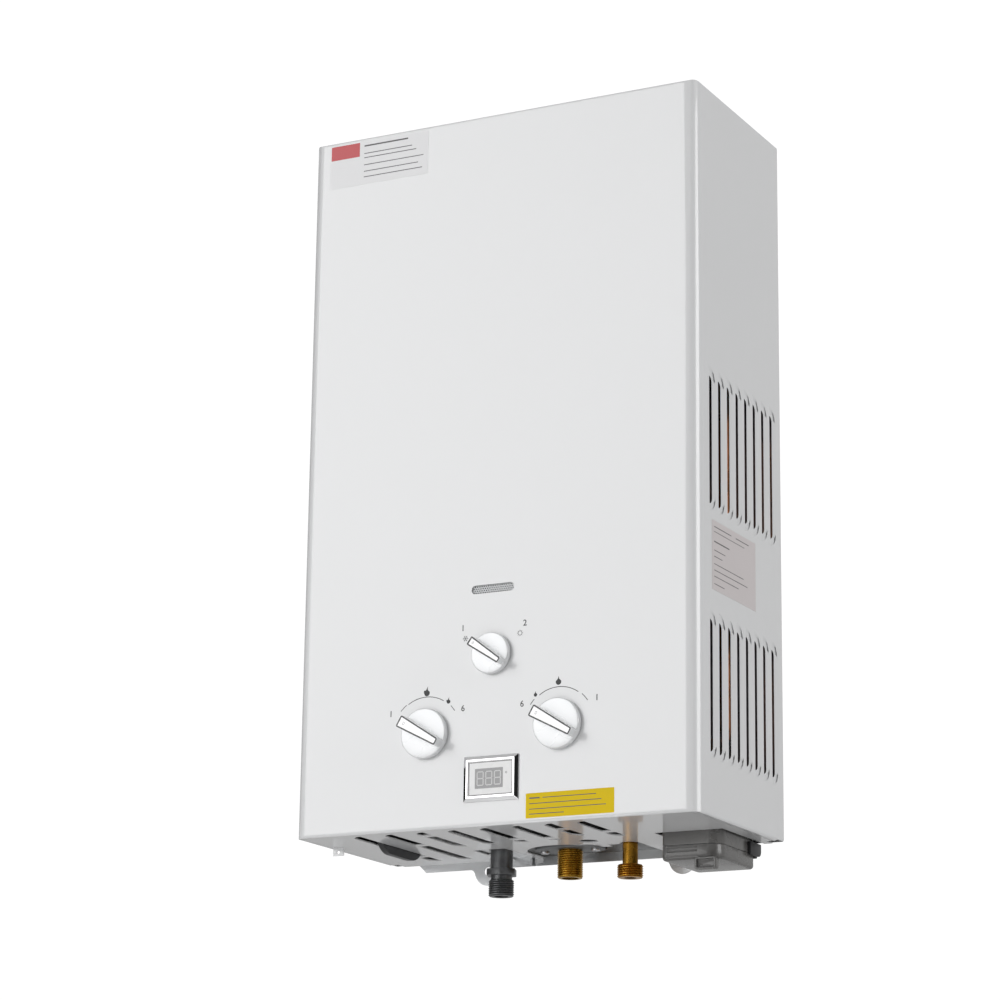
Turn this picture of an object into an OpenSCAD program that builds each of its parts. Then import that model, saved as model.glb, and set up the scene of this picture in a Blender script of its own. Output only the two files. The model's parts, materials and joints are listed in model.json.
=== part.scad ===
// Wall-hung instantaneous gas water heater with a flue collar, in millimetres.
// Origin: on the wall, midway across the case, level with the case's lower edge.
// +X is to the right seen from the front, +Y points into the wall, +Z is up.

/* [Case] */
// Height of the painted case
case_h = 594; // [580:1:630]
// Width of the painted case
case_w = 356; // [350:1:380]
// Depth of the case from the wall to the front panel
case_d = 170; // [168:1:185]
// Thickness of the painted cover sheet
sheet_t = 1; // [0.8:0.1:1.2]
// Thickness of the galvanised chassis sheet
plate_t = 1.2; // [1:0.1:1.6]
// Radius of the upright front corners
corner_r = 12; // [8:1:16]
// Radius of the folds along the top, bottom and rear edges
fold_r = 3; // [2:0.5:4]
// Play between two pieces that seat on each other
seat = 0.3; // [0.2:0.05:0.4]
// Radial play of a shaft that turns or slides in its bore
run_fit = 0.05; // [0.03:0.01:0.08]

/* [Side louvres] */
// Louvres in one row
side_louvres = 8; // [4:1:8]
// Spacing of the side louvres
side_pitch = 17.6; // [16:0.1:18]
// Distance from the front panel to the first louvre's centre
side_first = 28.5; // [26:0.5:34]
// Length of a side louvre
side_len = 118; // [80:1:124]
// Width of a side louvre
side_louvre_w = 11.5; // [9:0.5:13]
// Width of the slanting fin in a side louvre
side_fin_w = 7; // [5:0.5:8]
// Depth of a louvre's fin behind the sheet
fin_depth = 5; // [3:0.5:6]
// Height of the lower row's centre
lower_row_z = 102; // [90:1:108]
// Height of the upper row's centre
upper_row_z = 299; // [280:1:320]

/* [Bottom] */
// Louvres in the bottom of the case
bottom_louvres = 8; // [4:1:8]
// Spacing of the bottom louvres
bottom_pitch = 28.4; // [26:0.1:28.8]
// Place of the first bottom louvre across the case
bottom_first = -127; // [-130:1:-124]
// Width of a bottom louvre
bottom_louvre_w = 9; // [7:0.5:10]
// Width of the pressed lip in a bottom louvre
bottom_lip_w = 3; // [2:0.5:3.5]
// Distance from the front panel to the bottom louvres
bottom_start = 11; // [8:1:16]
// Length of the two long bottom louvres on the left
long_len = 138; // [120:1:142]
// Length of the other bottom louvres
short_len = 76; // [60:1:80]
// Radius of the round hole in the bottom
drain_r = 7.5; // [5:0.5:8]
// How far the wall plate shows below the case
plate_drop = 6; // [4:1:8]
// Drop of the shelf that carries the fittings, below the case
shelf_drop = 3; // [2:0.5:3.5]

/* [Wall fixing] */
// Distance between the hanging holes, above and below
lug_spacing = 178; // [160:1:190]
// Width of a lower lug
lug_w = 24; // [20:1:28]
// Radius of a lower fixing hole
lug_hole_r = 3.5; // [2.5:0.5:4]
// How far a lower lug hangs below the case
lug_drop = 20; // [18:1:24]
// How far a hanging ear stands above the case
ear_rise = 38; // [34:1:44]
// Radius of the entry of a hanging keyhole
keyhole_r = 5.5; // [5:0.5:6]
// Radius of the slot of a hanging keyhole
keyslot_r = 3; // [2.5:0.5:3.5]

/* [Fittings] */
// Outside radius of the half-inch pipe threads
thread_r = 10.48; // [10:0.02:11]
// Place of the gas fitting across the case
gas_x = -53; // [-56:1:-50]
// Distance of the gas fitting from the wall
gas_y = 46; // [44:1:50]
// Depth of the gas thread's mouth below the case
gas_drop = 37; // [34:1:42]
// Place of the cold water fitting across the case
cold_x = 5.2; // [4:0.2:8]
// Distance of the cold water fitting from the wall
cold_y = 37; // [36:1:39]
// Depth of the cold thread's mouth below the case
cold_drop = 24; // [22:1:30]
// Place of the hot water fitting across the case
hot_x = 63.2; // [62:0.2:66]
// Distance of the hot water fitting from the wall
hot_y = 46; // [44:1:49]
// Depth of the hot thread's mouth below the case
hot_drop = 28; // [26:1:34]
// Length of a pipe thread
thread_len = 13.5; // [12:0.5:14]
// Radius of the water bore in a fitting
fit_bore_r = 6; // [5:0.5:6.5]
// Radius of the copper water pipes
pipe_r = 6.35; // [6:0.05:6.5]
// Bend radius of the copper water pipes
pipe_bend = 15; // [14:0.5:16]

/* [Knobs] */
// Place of the gas knob across the case
gas_knob_x = -58; // [-60:1:-56]
// Height of the gas knob
gas_knob_z = 76.3; // [74:0.1:79]
// Place of the water knob across the case
water_knob_x = 59.3; // [57:0.1:61]
// Height of the water knob
water_knob_z = 75.7; // [74:0.1:79]
// Place of the season knob across the case
season_knob_x = 0.5; // [-1:0.5:2]
// Height of the season knob
season_knob_z = 136.5; // [135:0.5:138]
// Skirt radius of the gas and water knobs
big_skirt_r = 20; // [18:0.5:21]
// Skirt radius of the season knob
small_skirt_r = 16.5; // [15:0.5:18]
// Height of a knob's skirt
skirt_h = 5; // [4:0.5:6]
// Height of a knob's grip above the skirt
grip_h = 9.5; // [7:0.5:11]
// Play between a knob and the front panel
knob_gap = 0.6; // [0.4:0.1:1]
// Angle of the gas and water knob pointers at rest, from level right
big_angle = 150; // [140:1:160]
// Angle of the season knob pointer at rest, from level right
small_angle = 145; // [135:1:155]
// Radius of a control spindle
spindle_r = 3; // [2.5:0.25:3.5]

/* [Display and window] */
// Width of the chromed display bezel
bezel_w = 48; // [44:1:52]
// Height of the chromed display bezel
bezel_h = 36; // [32:1:38]
// Place of the display across the case
display_x = 1.1; // [0:0.1:3]
// Height of the display's centre
display_z = 37; // [34:0.5:38]
// Width of the flame viewing slot
window_w = 38; // [32:1:42]
// Height of the flame viewing slot
window_h = 7; // [5:0.5:8]
// Height of the viewing slot's centre
window_z = 190; // [188:0.5:193]

/* [Heat exchanger] */
// Width of the combustion chamber
chamber_w = 220; // [210:2:224]
// Depth of the combustion chamber
chamber_d = 90; // [88:1:92]
// Distance of the combustion chamber from the wall
chamber_y = 36; // [35:1:37]
// Height of the combustion chamber
chamber_h = 218; // [210:2:240]
// Height of the finned block
fin_h = 51; // [48:1:56]
// Spacing of the fins
fin_pitch = 6; // [5:0.5:8]
// Thickness of a fin
fin_t = 0.8; // [0.6:0.1:1]
// Thickness of the copper sheet
copper_t = 0.8; // [0.6:0.1:1]
// Turns of pipe wound round the chamber
coil_turns = 3; // [2:1:3]
// Rise of one turn of the pipe
coil_pitch = 50; // [44:1:54]
// Burner blades side by side
burner_count = 10; // [6:1:10]
// Spacing of the burner blades
burner_pitch = 20; // [19:0.5:20.5]
// Radius of the flue collar
flue_r = 45; // [40:1:50]
// How far the flue collar stands above the case
flue_rise = 30; // [24:1:36]

/* [Battery box] */
// Width of the battery box
bat_w = 50; // [47:1:52]
// Left edge of the battery box
bat_x = 107; // [105:0.5:109]
// Distance of the battery box from the wall
bat_y = 12; // [11.5:0.5:13]
// Radius of a battery cell
cell_r = 16.4; // [16:0.1:17]
// Length of a battery cell
cell_h = 61.5; // [58:0.5:62]
// Wall of the battery box
bat_wall = 1.6; // [1.2:0.1:2]
// Depth of the battery box's lid below the case
lid_drop = 22; // [21:0.5:24]
// Height of the seam between box and lid below the case
lid_seam = 10; // [9:0.5:11]

/* [Hidden] */

$fn = 48;
eps = 0.1;

// Places shared by several pieces
front_y = -case_d;
panel_y = front_y + sheet_t;
plate_front = -plate_t;
cover_rear = plate_front - seat;
side_x = case_w / 2;
chassis_x = side_x - sheet_t - seat;
chamber_back = -chamber_y;
chamber_front = -chamber_y - chamber_d;
chamber_mid = (chamber_back + chamber_front) / 2;

// Heights, from the burners upwards
blade_z = 122;
blade_top = 178;
tray_z = 138;
tray_top = 182;
chamber_z = tray_top + seat;
chamber_top = chamber_z + chamber_h;
fins_z = chamber_top + seat;
fins_top = fins_z + fin_h;
tube_z = fins_z + fin_h / 2;
hood_z = fins_top + seat;
top_z = case_h - sheet_t - seat - plate_t;
hood_top = top_z - 16;

// Pipes round the chamber
coil_x = chamber_w / 2 + seat + pipe_r;
coil_front = chamber_front - seat - pipe_r;
coil_back = chamber_back + seat + pipe_r;
coil_z = 230;
coil_end_z = coil_z + (coil_turns - 1) * coil_pitch;
tube_pitch = 20;
tube_end = chamber_w / 2 + seat;
first_tube_y = chamber_mid + 1.5 * tube_pitch;
last_tube_y = chamber_mid - 1.5 * tube_pitch;
coil_out_x = tube_end + seat + pipe_bend + 0.5;
hot_drop_x = 146;
hot_cross_z = 72;
cold_cross_z = 108;

// Burner
tray_w = chamber_w - 8;
tray_front = chamber_front + 2;
tray_back = chamber_back - 2;
manifold_s = 14;
manifold_y = tray_front - 4 - manifold_s;
manifold_z = blade_z;
selector_r = 13;
selector_front = manifold_y - 18;

// Valves
valve_r = 32;
valve_z = 4;
thread_neck_r = 9.4;
valve_body_h = 17;
diaphragm_z = valve_z + valve_body_h + seat;
diaphragm_t = 2;
valve_cover_z = diaphragm_z + diaphragm_t + seat;
valve_flange_h = 6;
valve_boss_z = valve_cover_z + 26;
gas_body_z = 82;
gas_body_r = 18;
gas_body_x0 = -76;
gas_body_x1 = 20;
gas_body_y = -39;
gas_front_y = -112;
regulator_r = 13;
regulator_front = -150;
regulator_back = -88;
link_r = 5;
link_x = 25;
link_y = -100;

// Flow rod and micro switch
rod_r = 3;
rod_collar_r = 6;
rod_collar_z = 52;
rod_collar_t = 2;
lever_t = 1;
lever_z = rod_collar_z + rod_collar_t + 0.4;
lever_w = 5;
lever_pin_x = 42;
lever_pin_r = 0.8;
lever_eye_r = 1.7;

// Battery box
knuckle_r = 2.4;
hinge_pin_r = 1;
bat_d = 4 * cell_r + 2 * bat_wall + 2;
bat_back = -bat_y;
bat_front = bat_back - bat_d;
bat_r = 5;
bat_mid_x = bat_x + bat_w / 2;
cell_z = -lid_drop + bat_wall + 1.1;
contact_z = cell_z + cell_h + seat;
bat_top = contact_z + 0.5 + seat + bat_wall;
hinge_y = bat_back + knuckle_r + 0.4;
hinge_z = -lid_seam - 0.3;

// Display
frame_w = 3.2;
cut_clear = 0.4;
display_depth = 16;

module at(x, y, z) {
  translate([x, y, z]) children();
}

// Cylinder along Y, from y0 towards the wall
module bar_y(x, y0, z, r, len) {
  translate([x, y0, z]) rotate([-90, 0, 0]) cylinder(r = r, h = len);
}

// Cylinder along X, from x0 to the right
module bar_x(x0, y, z, r, len) {
  translate([x0, y, z]) rotate([0, 90, 0]) cylinder(r = r, h = len);
}

// Box given by two opposite corners
module block(a, b) {
  translate(a) cube(b - a);
}

// Rectangle with round corners, centred
module round_rect(w, h, r) {
  square([w - 2 * r, h], center = true);
  square([w, h - 2 * r], center = true);
  for (sx = [-1, 1], sy = [-1, 1])
    translate([sx * (w / 2 - r), sy * (h / 2 - r)]) circle(r);
}

// Slot with round ends along X, centred
module slot_2d(w, h) {
  square([w - h, h], center = true);
  for (s = [-1, 1]) translate([s * (w - h) / 2, 0]) circle(h / 2);
}

function unit(v) = v / norm(v);

// Pipe along a list of corner points, with a bend at each corner between the ends
module pipe(points, r, bend) {
  last = len(points) - 1;
  dirs = [for (i = [0:last - 1]) unit(points[i + 1] - points[i])];
  turns = [for (i = [1:last - 1]) acos(dirs[i - 1] * dirs[i])];
  cuts = [for (i = [0:last]) i == 0 || i == last ? 0 : bend * tan(turns[i - 1] / 2)];
  for (i = [0:last - 1]) {
    a = points[i] + dirs[i] * cuts[i];
    length = norm(points[i + 1] - points[i]) - cuts[i] - cuts[i + 1];
    d = dirs[i];
    translate(a) rotate([0, acos(d.z), atan2(d.y, d.x)]) cylinder(r = r, h = length, $fn = 24);
  }
  for (i = [1:last - 1]) {
    a = dirs[i - 1];
    n = unit(cross(a, dirs[i]));
    x = cross(a, n);
    c = points[i] - a * cuts[i] - x * bend;
    multmatrix([[x.x, a.x, n.x, c.x], [x.y, a.y, n.y, c.y], [x.z, a.z, n.z, c.z], [0, 0, 0, 1]])
      rotate_extrude(angle = turns[i - 1], $fn = 96) translate([bend, 0]) circle(r, $fn = 24);
  }
}

// Outline that a louvre cuts in its sheet: the straight cut edge at x = w, round corners at the hinge
module louvre_outline(len, w) {
  translate([0, -len / 2 + w]) square([w, len - 2 * w]);
  intersection() {
    translate([0, -len / 2]) square([w, len]);
    for (s = [-1, 1]) translate([w, s * (len / 2 - w)]) circle(w);
  }
}

// Section of a louvre's fin: hinged on the sheet at x = 0, with its free edge behind the sheet
module fin_section(fin_w, depth, t) {
  polygon([[-t / 2, 0], [0, 0], [fin_w, depth], [fin_w, depth + t], [0, t], [-t / 2, t]]);
}

// Fin of a louvre: outer face of the sheet at z = 0, inside at +z, length along Y
module louvre_fin(len, w, fin_w, depth, t) {
  straight = len - 2 * w;
  translate([0, straight / 2, 0]) rotate([90, 0, 0])
    linear_extrude(straight) fin_section(fin_w, depth, t);
  for (s = [0, 1])
    mirror([0, s, 0]) translate([w, straight / 2, 0]) rotate([0, 0, 90])
      rotate_extrude(angle = 90) translate([w, 0]) mirror([1, 0]) fin_section(fin_w, depth, t);
}

// Puts a louvre drawn flat into the right side of the case, cut edge towards the front
module on_side(i, z) {
  y = front_y + side_first + i * side_pitch + side_louvre_w / 2;
  translate([side_x, y, z]) rotate([0, 0, -90]) rotate([90, 0, 0]) children();
}

// Puts a louvre drawn flat into the bottom of the case
module on_bottom(i) {
  len = i < 2 ? long_len : short_len;
  translate([bottom_first + i * bottom_pitch - bottom_louvre_w / 2, front_y + bottom_start + len / 2, 0])
    children();
}

// Solid of the case, drawn in by t on every side
module case_solid(t) {
  w = case_w - 2 * t;
  r = corner_r - t;
  f = max(fold_r - t, 0.5);
  intersection() {
    translate([0, 0, t]) linear_extrude(case_h - 2 * t) {
      translate([-w / 2, front_y + t + r]) square([w, cover_rear - front_y - t - r + (t > 0 ? eps : 0)]);
      translate([-w / 2 + r, front_y + t]) square([w - 2 * r, r + 1]);
      for (s = [-1, 1]) translate([s * (w / 2 - r), front_y + t + r]) circle(r);
    }
    translate([-case_w, 0, 0]) rotate([90, 0, 90]) linear_extrude(2 * case_w) {
      translate([front_y + t, t + f]) square([case_d, case_h - 2 * t - 2 * f]);
      translate([front_y + t + f, t]) square([case_d, case_h - 2 * t]);
      for (z = [t + f, case_h - t - f]) translate([front_y + t + f, z]) circle(f);
    }
    translate([0, eps, case_h / 2]) rotate([90, 0, 0]) linear_extrude(case_d + 1)
      round_rect(w, case_h - 2 * t, f);
  }
}

// ---------------------------------------------------------------- casing

module front_cover() {
  flap_rear = cover_rear - 2;
  color([0.9, 0.91, 0.92]) {
    difference() {
      case_solid(0);
      case_solid(sheet_t);
      // side louvres
      for (m = [0, 1]) mirror([m, 0, 0])
        for (z = [lower_row_z, upper_row_z], i = [0:side_louvres - 1])
          on_side(i, z) translate([0, 0, -eps]) linear_extrude(sheet_t + 2 * eps)
            louvre_outline(side_len, side_louvre_w);
      // bottom louvres, drain hole and the notches behind them
      for (i = [0:bottom_louvres - 1])
        on_bottom(i) translate([0, 0, -eps]) linear_extrude(sheet_t + 2 * eps)
          louvre_outline(i < 2 ? long_len : short_len, bottom_louvre_w);
      at(37, front_y + 101, -eps) cylinder(r = drain_r, h = sheet_t + 2 * eps);
      block([-83, front_y + 113, -eps], [78, 1, sheet_t + eps]);
      block([bat_x - 5, bat_front - 3, -eps], [bat_x + bat_w + 3, 1, sheet_t + eps]);
      for (s = [-1, 1]) {
        block([s * side_x - 13 - s * 6, front_y + 156, -eps], [s * side_x + 13 - s * 6, 1, sheet_t + eps]);
        block([s * (side_x - 4.5) - 0.4, front_y + 20, -eps],
              [s * (side_x - 4.5) + 0.4, front_y + 157, sheet_t + eps]);
        at(s * (side_x - 6), front_y + 6, -eps) cylinder(r = 1.6, h = sheet_t + 2 * eps);
      }
      // notch for the flue collar in the top
      at(0, 0, case_h - sheet_t - eps) linear_extrude(sheet_t + 2 * eps) {
        translate([0, chamber_mid]) circle(flue_r + 13);
        translate([-flue_r - 13, chamber_mid]) square([2 * flue_r + 26, case_d]);
      }
      // controls, display and viewing slot in the front
      for (p = [[gas_knob_x, gas_knob_z], [water_knob_x, water_knob_z], [season_knob_x, season_knob_z]])
        bar_y(p.x, front_y - 1, p.y, spindle_r + 3, sheet_t + 2);
      at(display_x, front_y + sheet_t / 2, display_z)
        cube([bezel_w - 2 * frame_w + 2, sheet_t + 2, bezel_h - 2 * frame_w + 2], center = true);
      at(0, panel_y + 1, window_z) rotate([90, 0, 0]) linear_extrude(sheet_t + 2) slot_2d(window_w, window_h);
    }
    for (m = [0, 1]) mirror([m, 0, 0])
      for (z = [lower_row_z, upper_row_z], i = [0:side_louvres - 1])
        on_side(i, z) louvre_fin(side_len, side_louvre_w, side_fin_w, fin_depth, sheet_t);
    for (i = [0:bottom_louvres - 1])
      on_bottom(i)
        louvre_fin(i < 2 ? long_len : short_len, bottom_louvre_w, bottom_lip_w, fin_depth, sheet_t);
    // pierced tab that hangs from the left flange
    difference() {
      block([-side_x + 7, front_y + 52, -7], [-side_x + 17, front_y + 53, eps]);
      bar_y(-side_x + 12, front_y + 51, -4, 1.5, 3);
    }
  }
}

// Wall plate with flanged sides, hanging ears above and lugs below
module back_plate() {
  color([0.72, 0.74, 0.76]) {
    difference() {
      rotate([90, 0, 0]) linear_extrude(plate_t) {
        translate([-chassis_x, 1]) square([2 * chassis_x, case_h - 2]);
        translate([0, 0]) polygon([[-154, 2], [154, 2], [154, 0], [148, -plate_drop],
                                   [-148, -plate_drop], [-154, 0]]);
        translate([-120, case_h - 2]) square([240, 2 + plate_drop]);
        for (s = [-1, 1]) translate([s * lug_spacing / 2, 0]) {
          // lower lug with flared roots
          translate([-lug_w / 2, -lug_drop + lug_w / 2]) square([lug_w, lug_drop - lug_w / 2]);
          translate([0, -lug_drop + lug_w / 2]) circle(lug_w / 2);
          difference() {
            translate([-lug_w / 2 - 5, -plate_drop - 5]) square([lug_w + 10, 6]);
            for (t = [-1, 1]) translate([t * (lug_w / 2 + 5), -plate_drop - 5]) circle(5);
          }
          // hanging ear
          translate([-22, case_h]) square([44, ear_rise - 22]);
          translate([0, case_h + ear_rise - 22]) circle(22);
        }
      }
      for (s = [-1, 1]) {
        bar_y(s * lug_spacing / 2, -plate_t - 1, -lug_drop + lug_w / 2, lug_hole_r, plate_t + 2);
        translate([s * lug_spacing / 2, 1, case_h + ear_rise - 26]) rotate([90, 0, 0])
          linear_extrude(plate_t + 2) {
            circle(keyhole_r);
            translate([-keyslot_r, 0]) square([2 * keyslot_r, 14]);
            translate([0, 14]) circle(keyslot_r);
          }
      }
    }
    // side flanges that the cover closes over
    for (s = [-1, 1])
      block([s * (chassis_x - plate_t / 2) - plate_t / 2, -10, 4],
            [s * (chassis_x - plate_t / 2) + plate_t / 2, -plate_t / 2, case_h - 4]);
  }
}

// Folded shelf with notches for the three fittings, its rear flange on the wall plate
module valve_shelf() {
  color([0.82, 0.83, 0.83]) difference() {
    union() {
      block([-70, front_y + 99, -shelf_drop], [82, plate_front - seat, -shelf_drop + plate_t]);
      block([-70, plate_front - seat - plate_t, -shelf_drop], [76, plate_front - seat, 16]);
    }
    translate([0, 0, -shelf_drop - 1]) linear_extrude(plate_t + 2) {
      translate([gas_x - 12, -gas_y - 14]) square([26, gas_y + 14 - 4]);
      translate([cold_x + 3, -cold_y]) circle(valve_r + 4.5);
      translate([cold_x + 3 - valve_r - 4.5, -cold_y]) square([2 * valve_r + 9, cold_y - 4]);
      translate([hot_x - 8.2, -hot_y - 13]) square([20, hot_y + 13 - 4]);
      translate([42, -20]) square([20, 16]);
    }
  }
}

module top_panel() {
  color([0.72, 0.74, 0.76]) difference() {
    union() {
      block([-104, chamber_mid - 72, top_z], [104, plate_front - seat, top_z + plate_t]);
      block([-104, plate_front - seat - plate_t, top_z - 14], [104, plate_front - seat, top_z + plate_t]);
    }
    at(0, chamber_mid, top_z - 1) cylinder(r = flue_r + 0.5 + seat, h = plate_t + 2);
  }
}

// Spigot for the flue pipe: turned-out foot, wall and rolled rim
module flue_collar() {
  wall = 1;
  color([0.8, 0.81, 0.82]) at(0, chamber_mid, 0) rotate_extrude($fn = 96) {
    translate([flue_r - wall, top_z - 6]) square([wall, case_h + flue_rise - 1.5 - top_z + 6]);
    translate([flue_r - wall / 2, top_z + plate_t + seat]) square([10, wall]);
    translate([flue_r - 1.5, case_h + flue_rise - 1.5]) circle(1.5, $fn = 24);
  }
}

// Fume hood: flared box over the finned block, with a neck up into the collar
module draft_hood() {
  wall = plate_t;
  neck_r = flue_r - 1 - seat;
  shoulder = hood_z + 18;
  color([0.75, 0.76, 0.78]) difference() {
    union() {
      translate([0, chamber_back, 0]) rotate([90, 0, 0]) linear_extrude(chamber_d)
        polygon([[-chamber_w / 2, hood_z], [chamber_w / 2, hood_z], [chamber_w / 2, shoulder],
                 [neck_r + 8, hood_top], [-neck_r - 8, hood_top], [-chamber_w / 2, shoulder]]);
      at(0, chamber_mid, hood_top - 1) cylinder(r = neck_r, h = top_z - hood_top + 1, $fn = 96);
    }
    translate([0, chamber_back - wall, 0]) rotate([90, 0, 0]) linear_extrude(chamber_d - 2 * wall)
      polygon([[-chamber_w / 2 + wall, hood_z - 1], [chamber_w / 2 - wall, hood_z - 1],
               [chamber_w / 2 - wall, shoulder], [neck_r + 8 - wall, hood_top - wall],
               [-neck_r - 8 + wall, hood_top - wall], [-chamber_w / 2 + wall, shoulder]]);
    at(0, chamber_mid, hood_top - 2 * wall) cylinder(r = neck_r - 1, h = 30, $fn = 96);
  }
}

// ---------------------------------------------------------------- heat exchanger

module heat_chamber() {
  color([0.72, 0.45, 0.3]) difference() {
    at(0, chamber_mid, chamber_z) linear_extrude(chamber_h) round_rect(chamber_w, chamber_d, 8);
    at(0, chamber_mid, chamber_z - 1) linear_extrude(chamber_h + 2)
      round_rect(chamber_w - 2 * copper_t, chamber_d - 2 * copper_t, 8 - copper_t);
    // sight hole behind the viewing slot
    translate([0, chamber_front + 5, window_z + 3]) rotate([90, 0, 0]) linear_extrude(10) slot_2d(44, 12);
    for (s = [-1, 1]) bar_y(s * 42, chamber_front - 5, window_z, 3 + seat, 10);
  }
}

module fin_pack() {
  count = floor((chamber_w / 2 - 8) / fin_pitch);
  color([0.75, 0.48, 0.32]) {
    for (i = [-count:count]) difference() {
      at(i * fin_pitch, chamber_mid, fins_z + fin_h / 2) cube([fin_t, chamber_d - 4, fin_h], center = true);
      for (k = [-1.5:1.5])
        bar_x(i * fin_pitch - 2, chamber_mid + k * tube_pitch, tube_z, pipe_r + run_fit, 4);
    }
  }
}

// Four tubes through the fins, joined by three return bends, with both ends on the right
module exchanger_tubes() {
  color([0.76, 0.5, 0.34]) {
    for (k = [-1.5:1.5]) bar_x(-tube_end, chamber_mid + k * tube_pitch, tube_z, pipe_r, 2 * tube_end);
    for (k = [-1, 1]) translate([-tube_end, chamber_mid + k * tube_pitch, tube_z])
      rotate([0, 0, 90]) rotate_extrude(angle = 180) translate([tube_pitch / 2, 0]) circle(pipe_r);
    translate([tube_end, chamber_mid, tube_z]) rotate([0, 0, -90])
      rotate_extrude(angle = 180) translate([tube_pitch / 2, 0]) circle(pipe_r);
  }
}

// Pipe wound round the chamber, stepping up at the right rear corner, then on to the first tube
module coil_pipe() {
  x = coil_x;
  loops = [for (i = [0:coil_turns - 1]) let (z = coil_z + i * coil_pitch)
    [[-x, coil_back, z], [-x, coil_front, z], [x, coil_front, z], [x, coil_back, z], [x, coil_back, z + coil_pitch]]];
  turns = [for (loop = loops, p = loop) p];
  wound = [for (i = [0:len(turns) - 4]) turns[i]];
  color([0.72, 0.45, 0.3])
    pipe(concat([[water_knob_x - pipe_bend - 1, coil_back, coil_z]], wound,
                [[coil_out_x, coil_front, coil_end_z], [coil_out_x, first_tube_y, coil_end_z],
                 [coil_out_x, first_tube_y, tube_z], [tube_end + seat, first_tube_y, tube_z]]),
         pipe_r, pipe_bend);
}

// Two hat-section straps that carry the exchanger on the wall plate
module chamber_brackets() {
  reach = -chamber_back - plate_t - 2 * seat;
  color([0.72, 0.74, 0.76])
    for (b = [[-90, 40, chamber_z + 12], [-70, 70, chamber_top - 34]])
      translate([b[0], plate_front - seat, b[2]]) rotate([90, 0, 90]) linear_extrude(b[1] - b[0]) {
        translate([-plate_t, -12]) square([plate_t, 12]);
        translate([-reach, 0]) square([reach, plate_t]);
        translate([-reach, 0]) square([plate_t, 18]);
      }
}

// ---------------------------------------------------------------- water way

module hot_pipe() {
  color([0.76, 0.48, 0.32])
    pipe([[tube_end + seat, last_tube_y, tube_z], [hot_drop_x, last_tube_y, tube_z],
          [hot_drop_x, -hot_y, tube_z], [hot_drop_x, -hot_y, hot_cross_z],
          [hot_x, -hot_y, hot_cross_z], [hot_x, -hot_y, 30 + seat]], pipe_r, pipe_bend);
}

// Threaded end of a water fitting: chamfered thread at the bottom, bore all the way
module threaded_end(drop, len, bore) {
  chamfer = 1;
  translate([0, 0, -drop]) rotate_extrude($fn = 64)
    polygon([[bore, 0], [thread_r - chamfer, 0], [thread_r, chamfer], [thread_r, len], [bore, len]]);
}

module hot_outlet() {
  color([0.72, 0.52, 0.16]) at(hot_x, -hot_y, 0) {
    threaded_end(hot_drop, 10.5, fit_bore_r - 1);
    rotate_extrude() {
      translate([fit_bore_r - 1, -hot_drop + 10]) square([pipe_r - fit_bore_r + 1, hot_drop - 10 + 18]);
      translate([fit_bore_r - 1, 18]) square([5, 12]);
    }
  }
}

module cold_pipe() {
  x = water_knob_x;
  color([0.76, 0.48, 0.32])
    pipe([[x, link_y, water_knob_z + regulator_r + seat], [x, link_y, cold_cross_z], [x, coil_back, cold_cross_z],
          [x, coil_back, coil_z], [x - pipe_bend - 1 + seat, coil_back, coil_z]], pipe_r, pipe_bend);
}

module water_link_tube() {
  color([0.76, 0.48, 0.32])
    pipe([[link_x, -cold_y - valve_r, valve_z + 9], [link_x, link_y, valve_z + 9], [link_x, link_y, water_knob_z],
          [water_knob_x - regulator_r - seat, link_y, water_knob_z]], link_r, 12);
}

// Barrel of the water flow regulator with its gland towards the front
module water_regulator() {
  shoulder = 9;
  color([0.72, 0.52, 0.16]) difference() {
    union() {
      bar_y(water_knob_x, regulator_front + shoulder, water_knob_z, regulator_r,
            regulator_back - regulator_front - shoulder);
      bar_y(water_knob_x, regulator_front, water_knob_z, 8, shoulder + 1);
      bar_y(water_knob_x, regulator_front + shoulder, water_knob_z, regulator_r + 2, 4);
      bar_y(water_knob_x, regulator_back - 5, water_knob_z, regulator_r + 2, 5);
    }
    bar_y(water_knob_x, regulator_front - 1, water_knob_z, spindle_r + run_fit, 31);
  }
}

// Round lower half of the flow valve
module water_valve_body() {
  color([0.62, 0.63, 0.64]) difference() {
    union() {
      at(cold_x, -cold_y, valve_z) cylinder(r = valve_r, h = valve_body_h, $fn = 72);
      bar_y(link_x, -cold_y - valve_r + seat, valve_z + 9, 7, 20);
      at(cold_x, -cold_y, valve_z - 1.5) cylinder(r = 17, h = 3);
    }
    at(cold_x, -cold_y, valve_z - 2) cylinder(r = thread_neck_r + run_fit, h = 12);
    for (a = [0:60:300])
      at(cold_x + 23 * cos(a), -cold_y + 23 * sin(a), valve_z - 1) cylinder(r = 2 + run_fit, h = 40);
  }
}

module cold_inlet() {
  bore = fit_bore_r + 1;
  color([0.72, 0.52, 0.16]) at(cold_x, -cold_y, 0) {
    threaded_end(cold_drop, thread_len + 1, bore);
    rotate_extrude() translate([bore, thread_len - cold_drop]) 
      square([thread_neck_r - bore, cold_drop - thread_len + valve_z + 9.7]);
  }
}

module diaphragm() {
  color([0.15, 0.15, 0.15]) at(cold_x, -cold_y, diaphragm_z) difference() {
    cylinder(r = valve_r - 0.5, h = diaphragm_t, $fn = 72);
    for (a = [0:60:300]) at(23 * cos(a), 23 * sin(a), -1) cylinder(r = 2 + run_fit, h = 10);
  }
}

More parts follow.
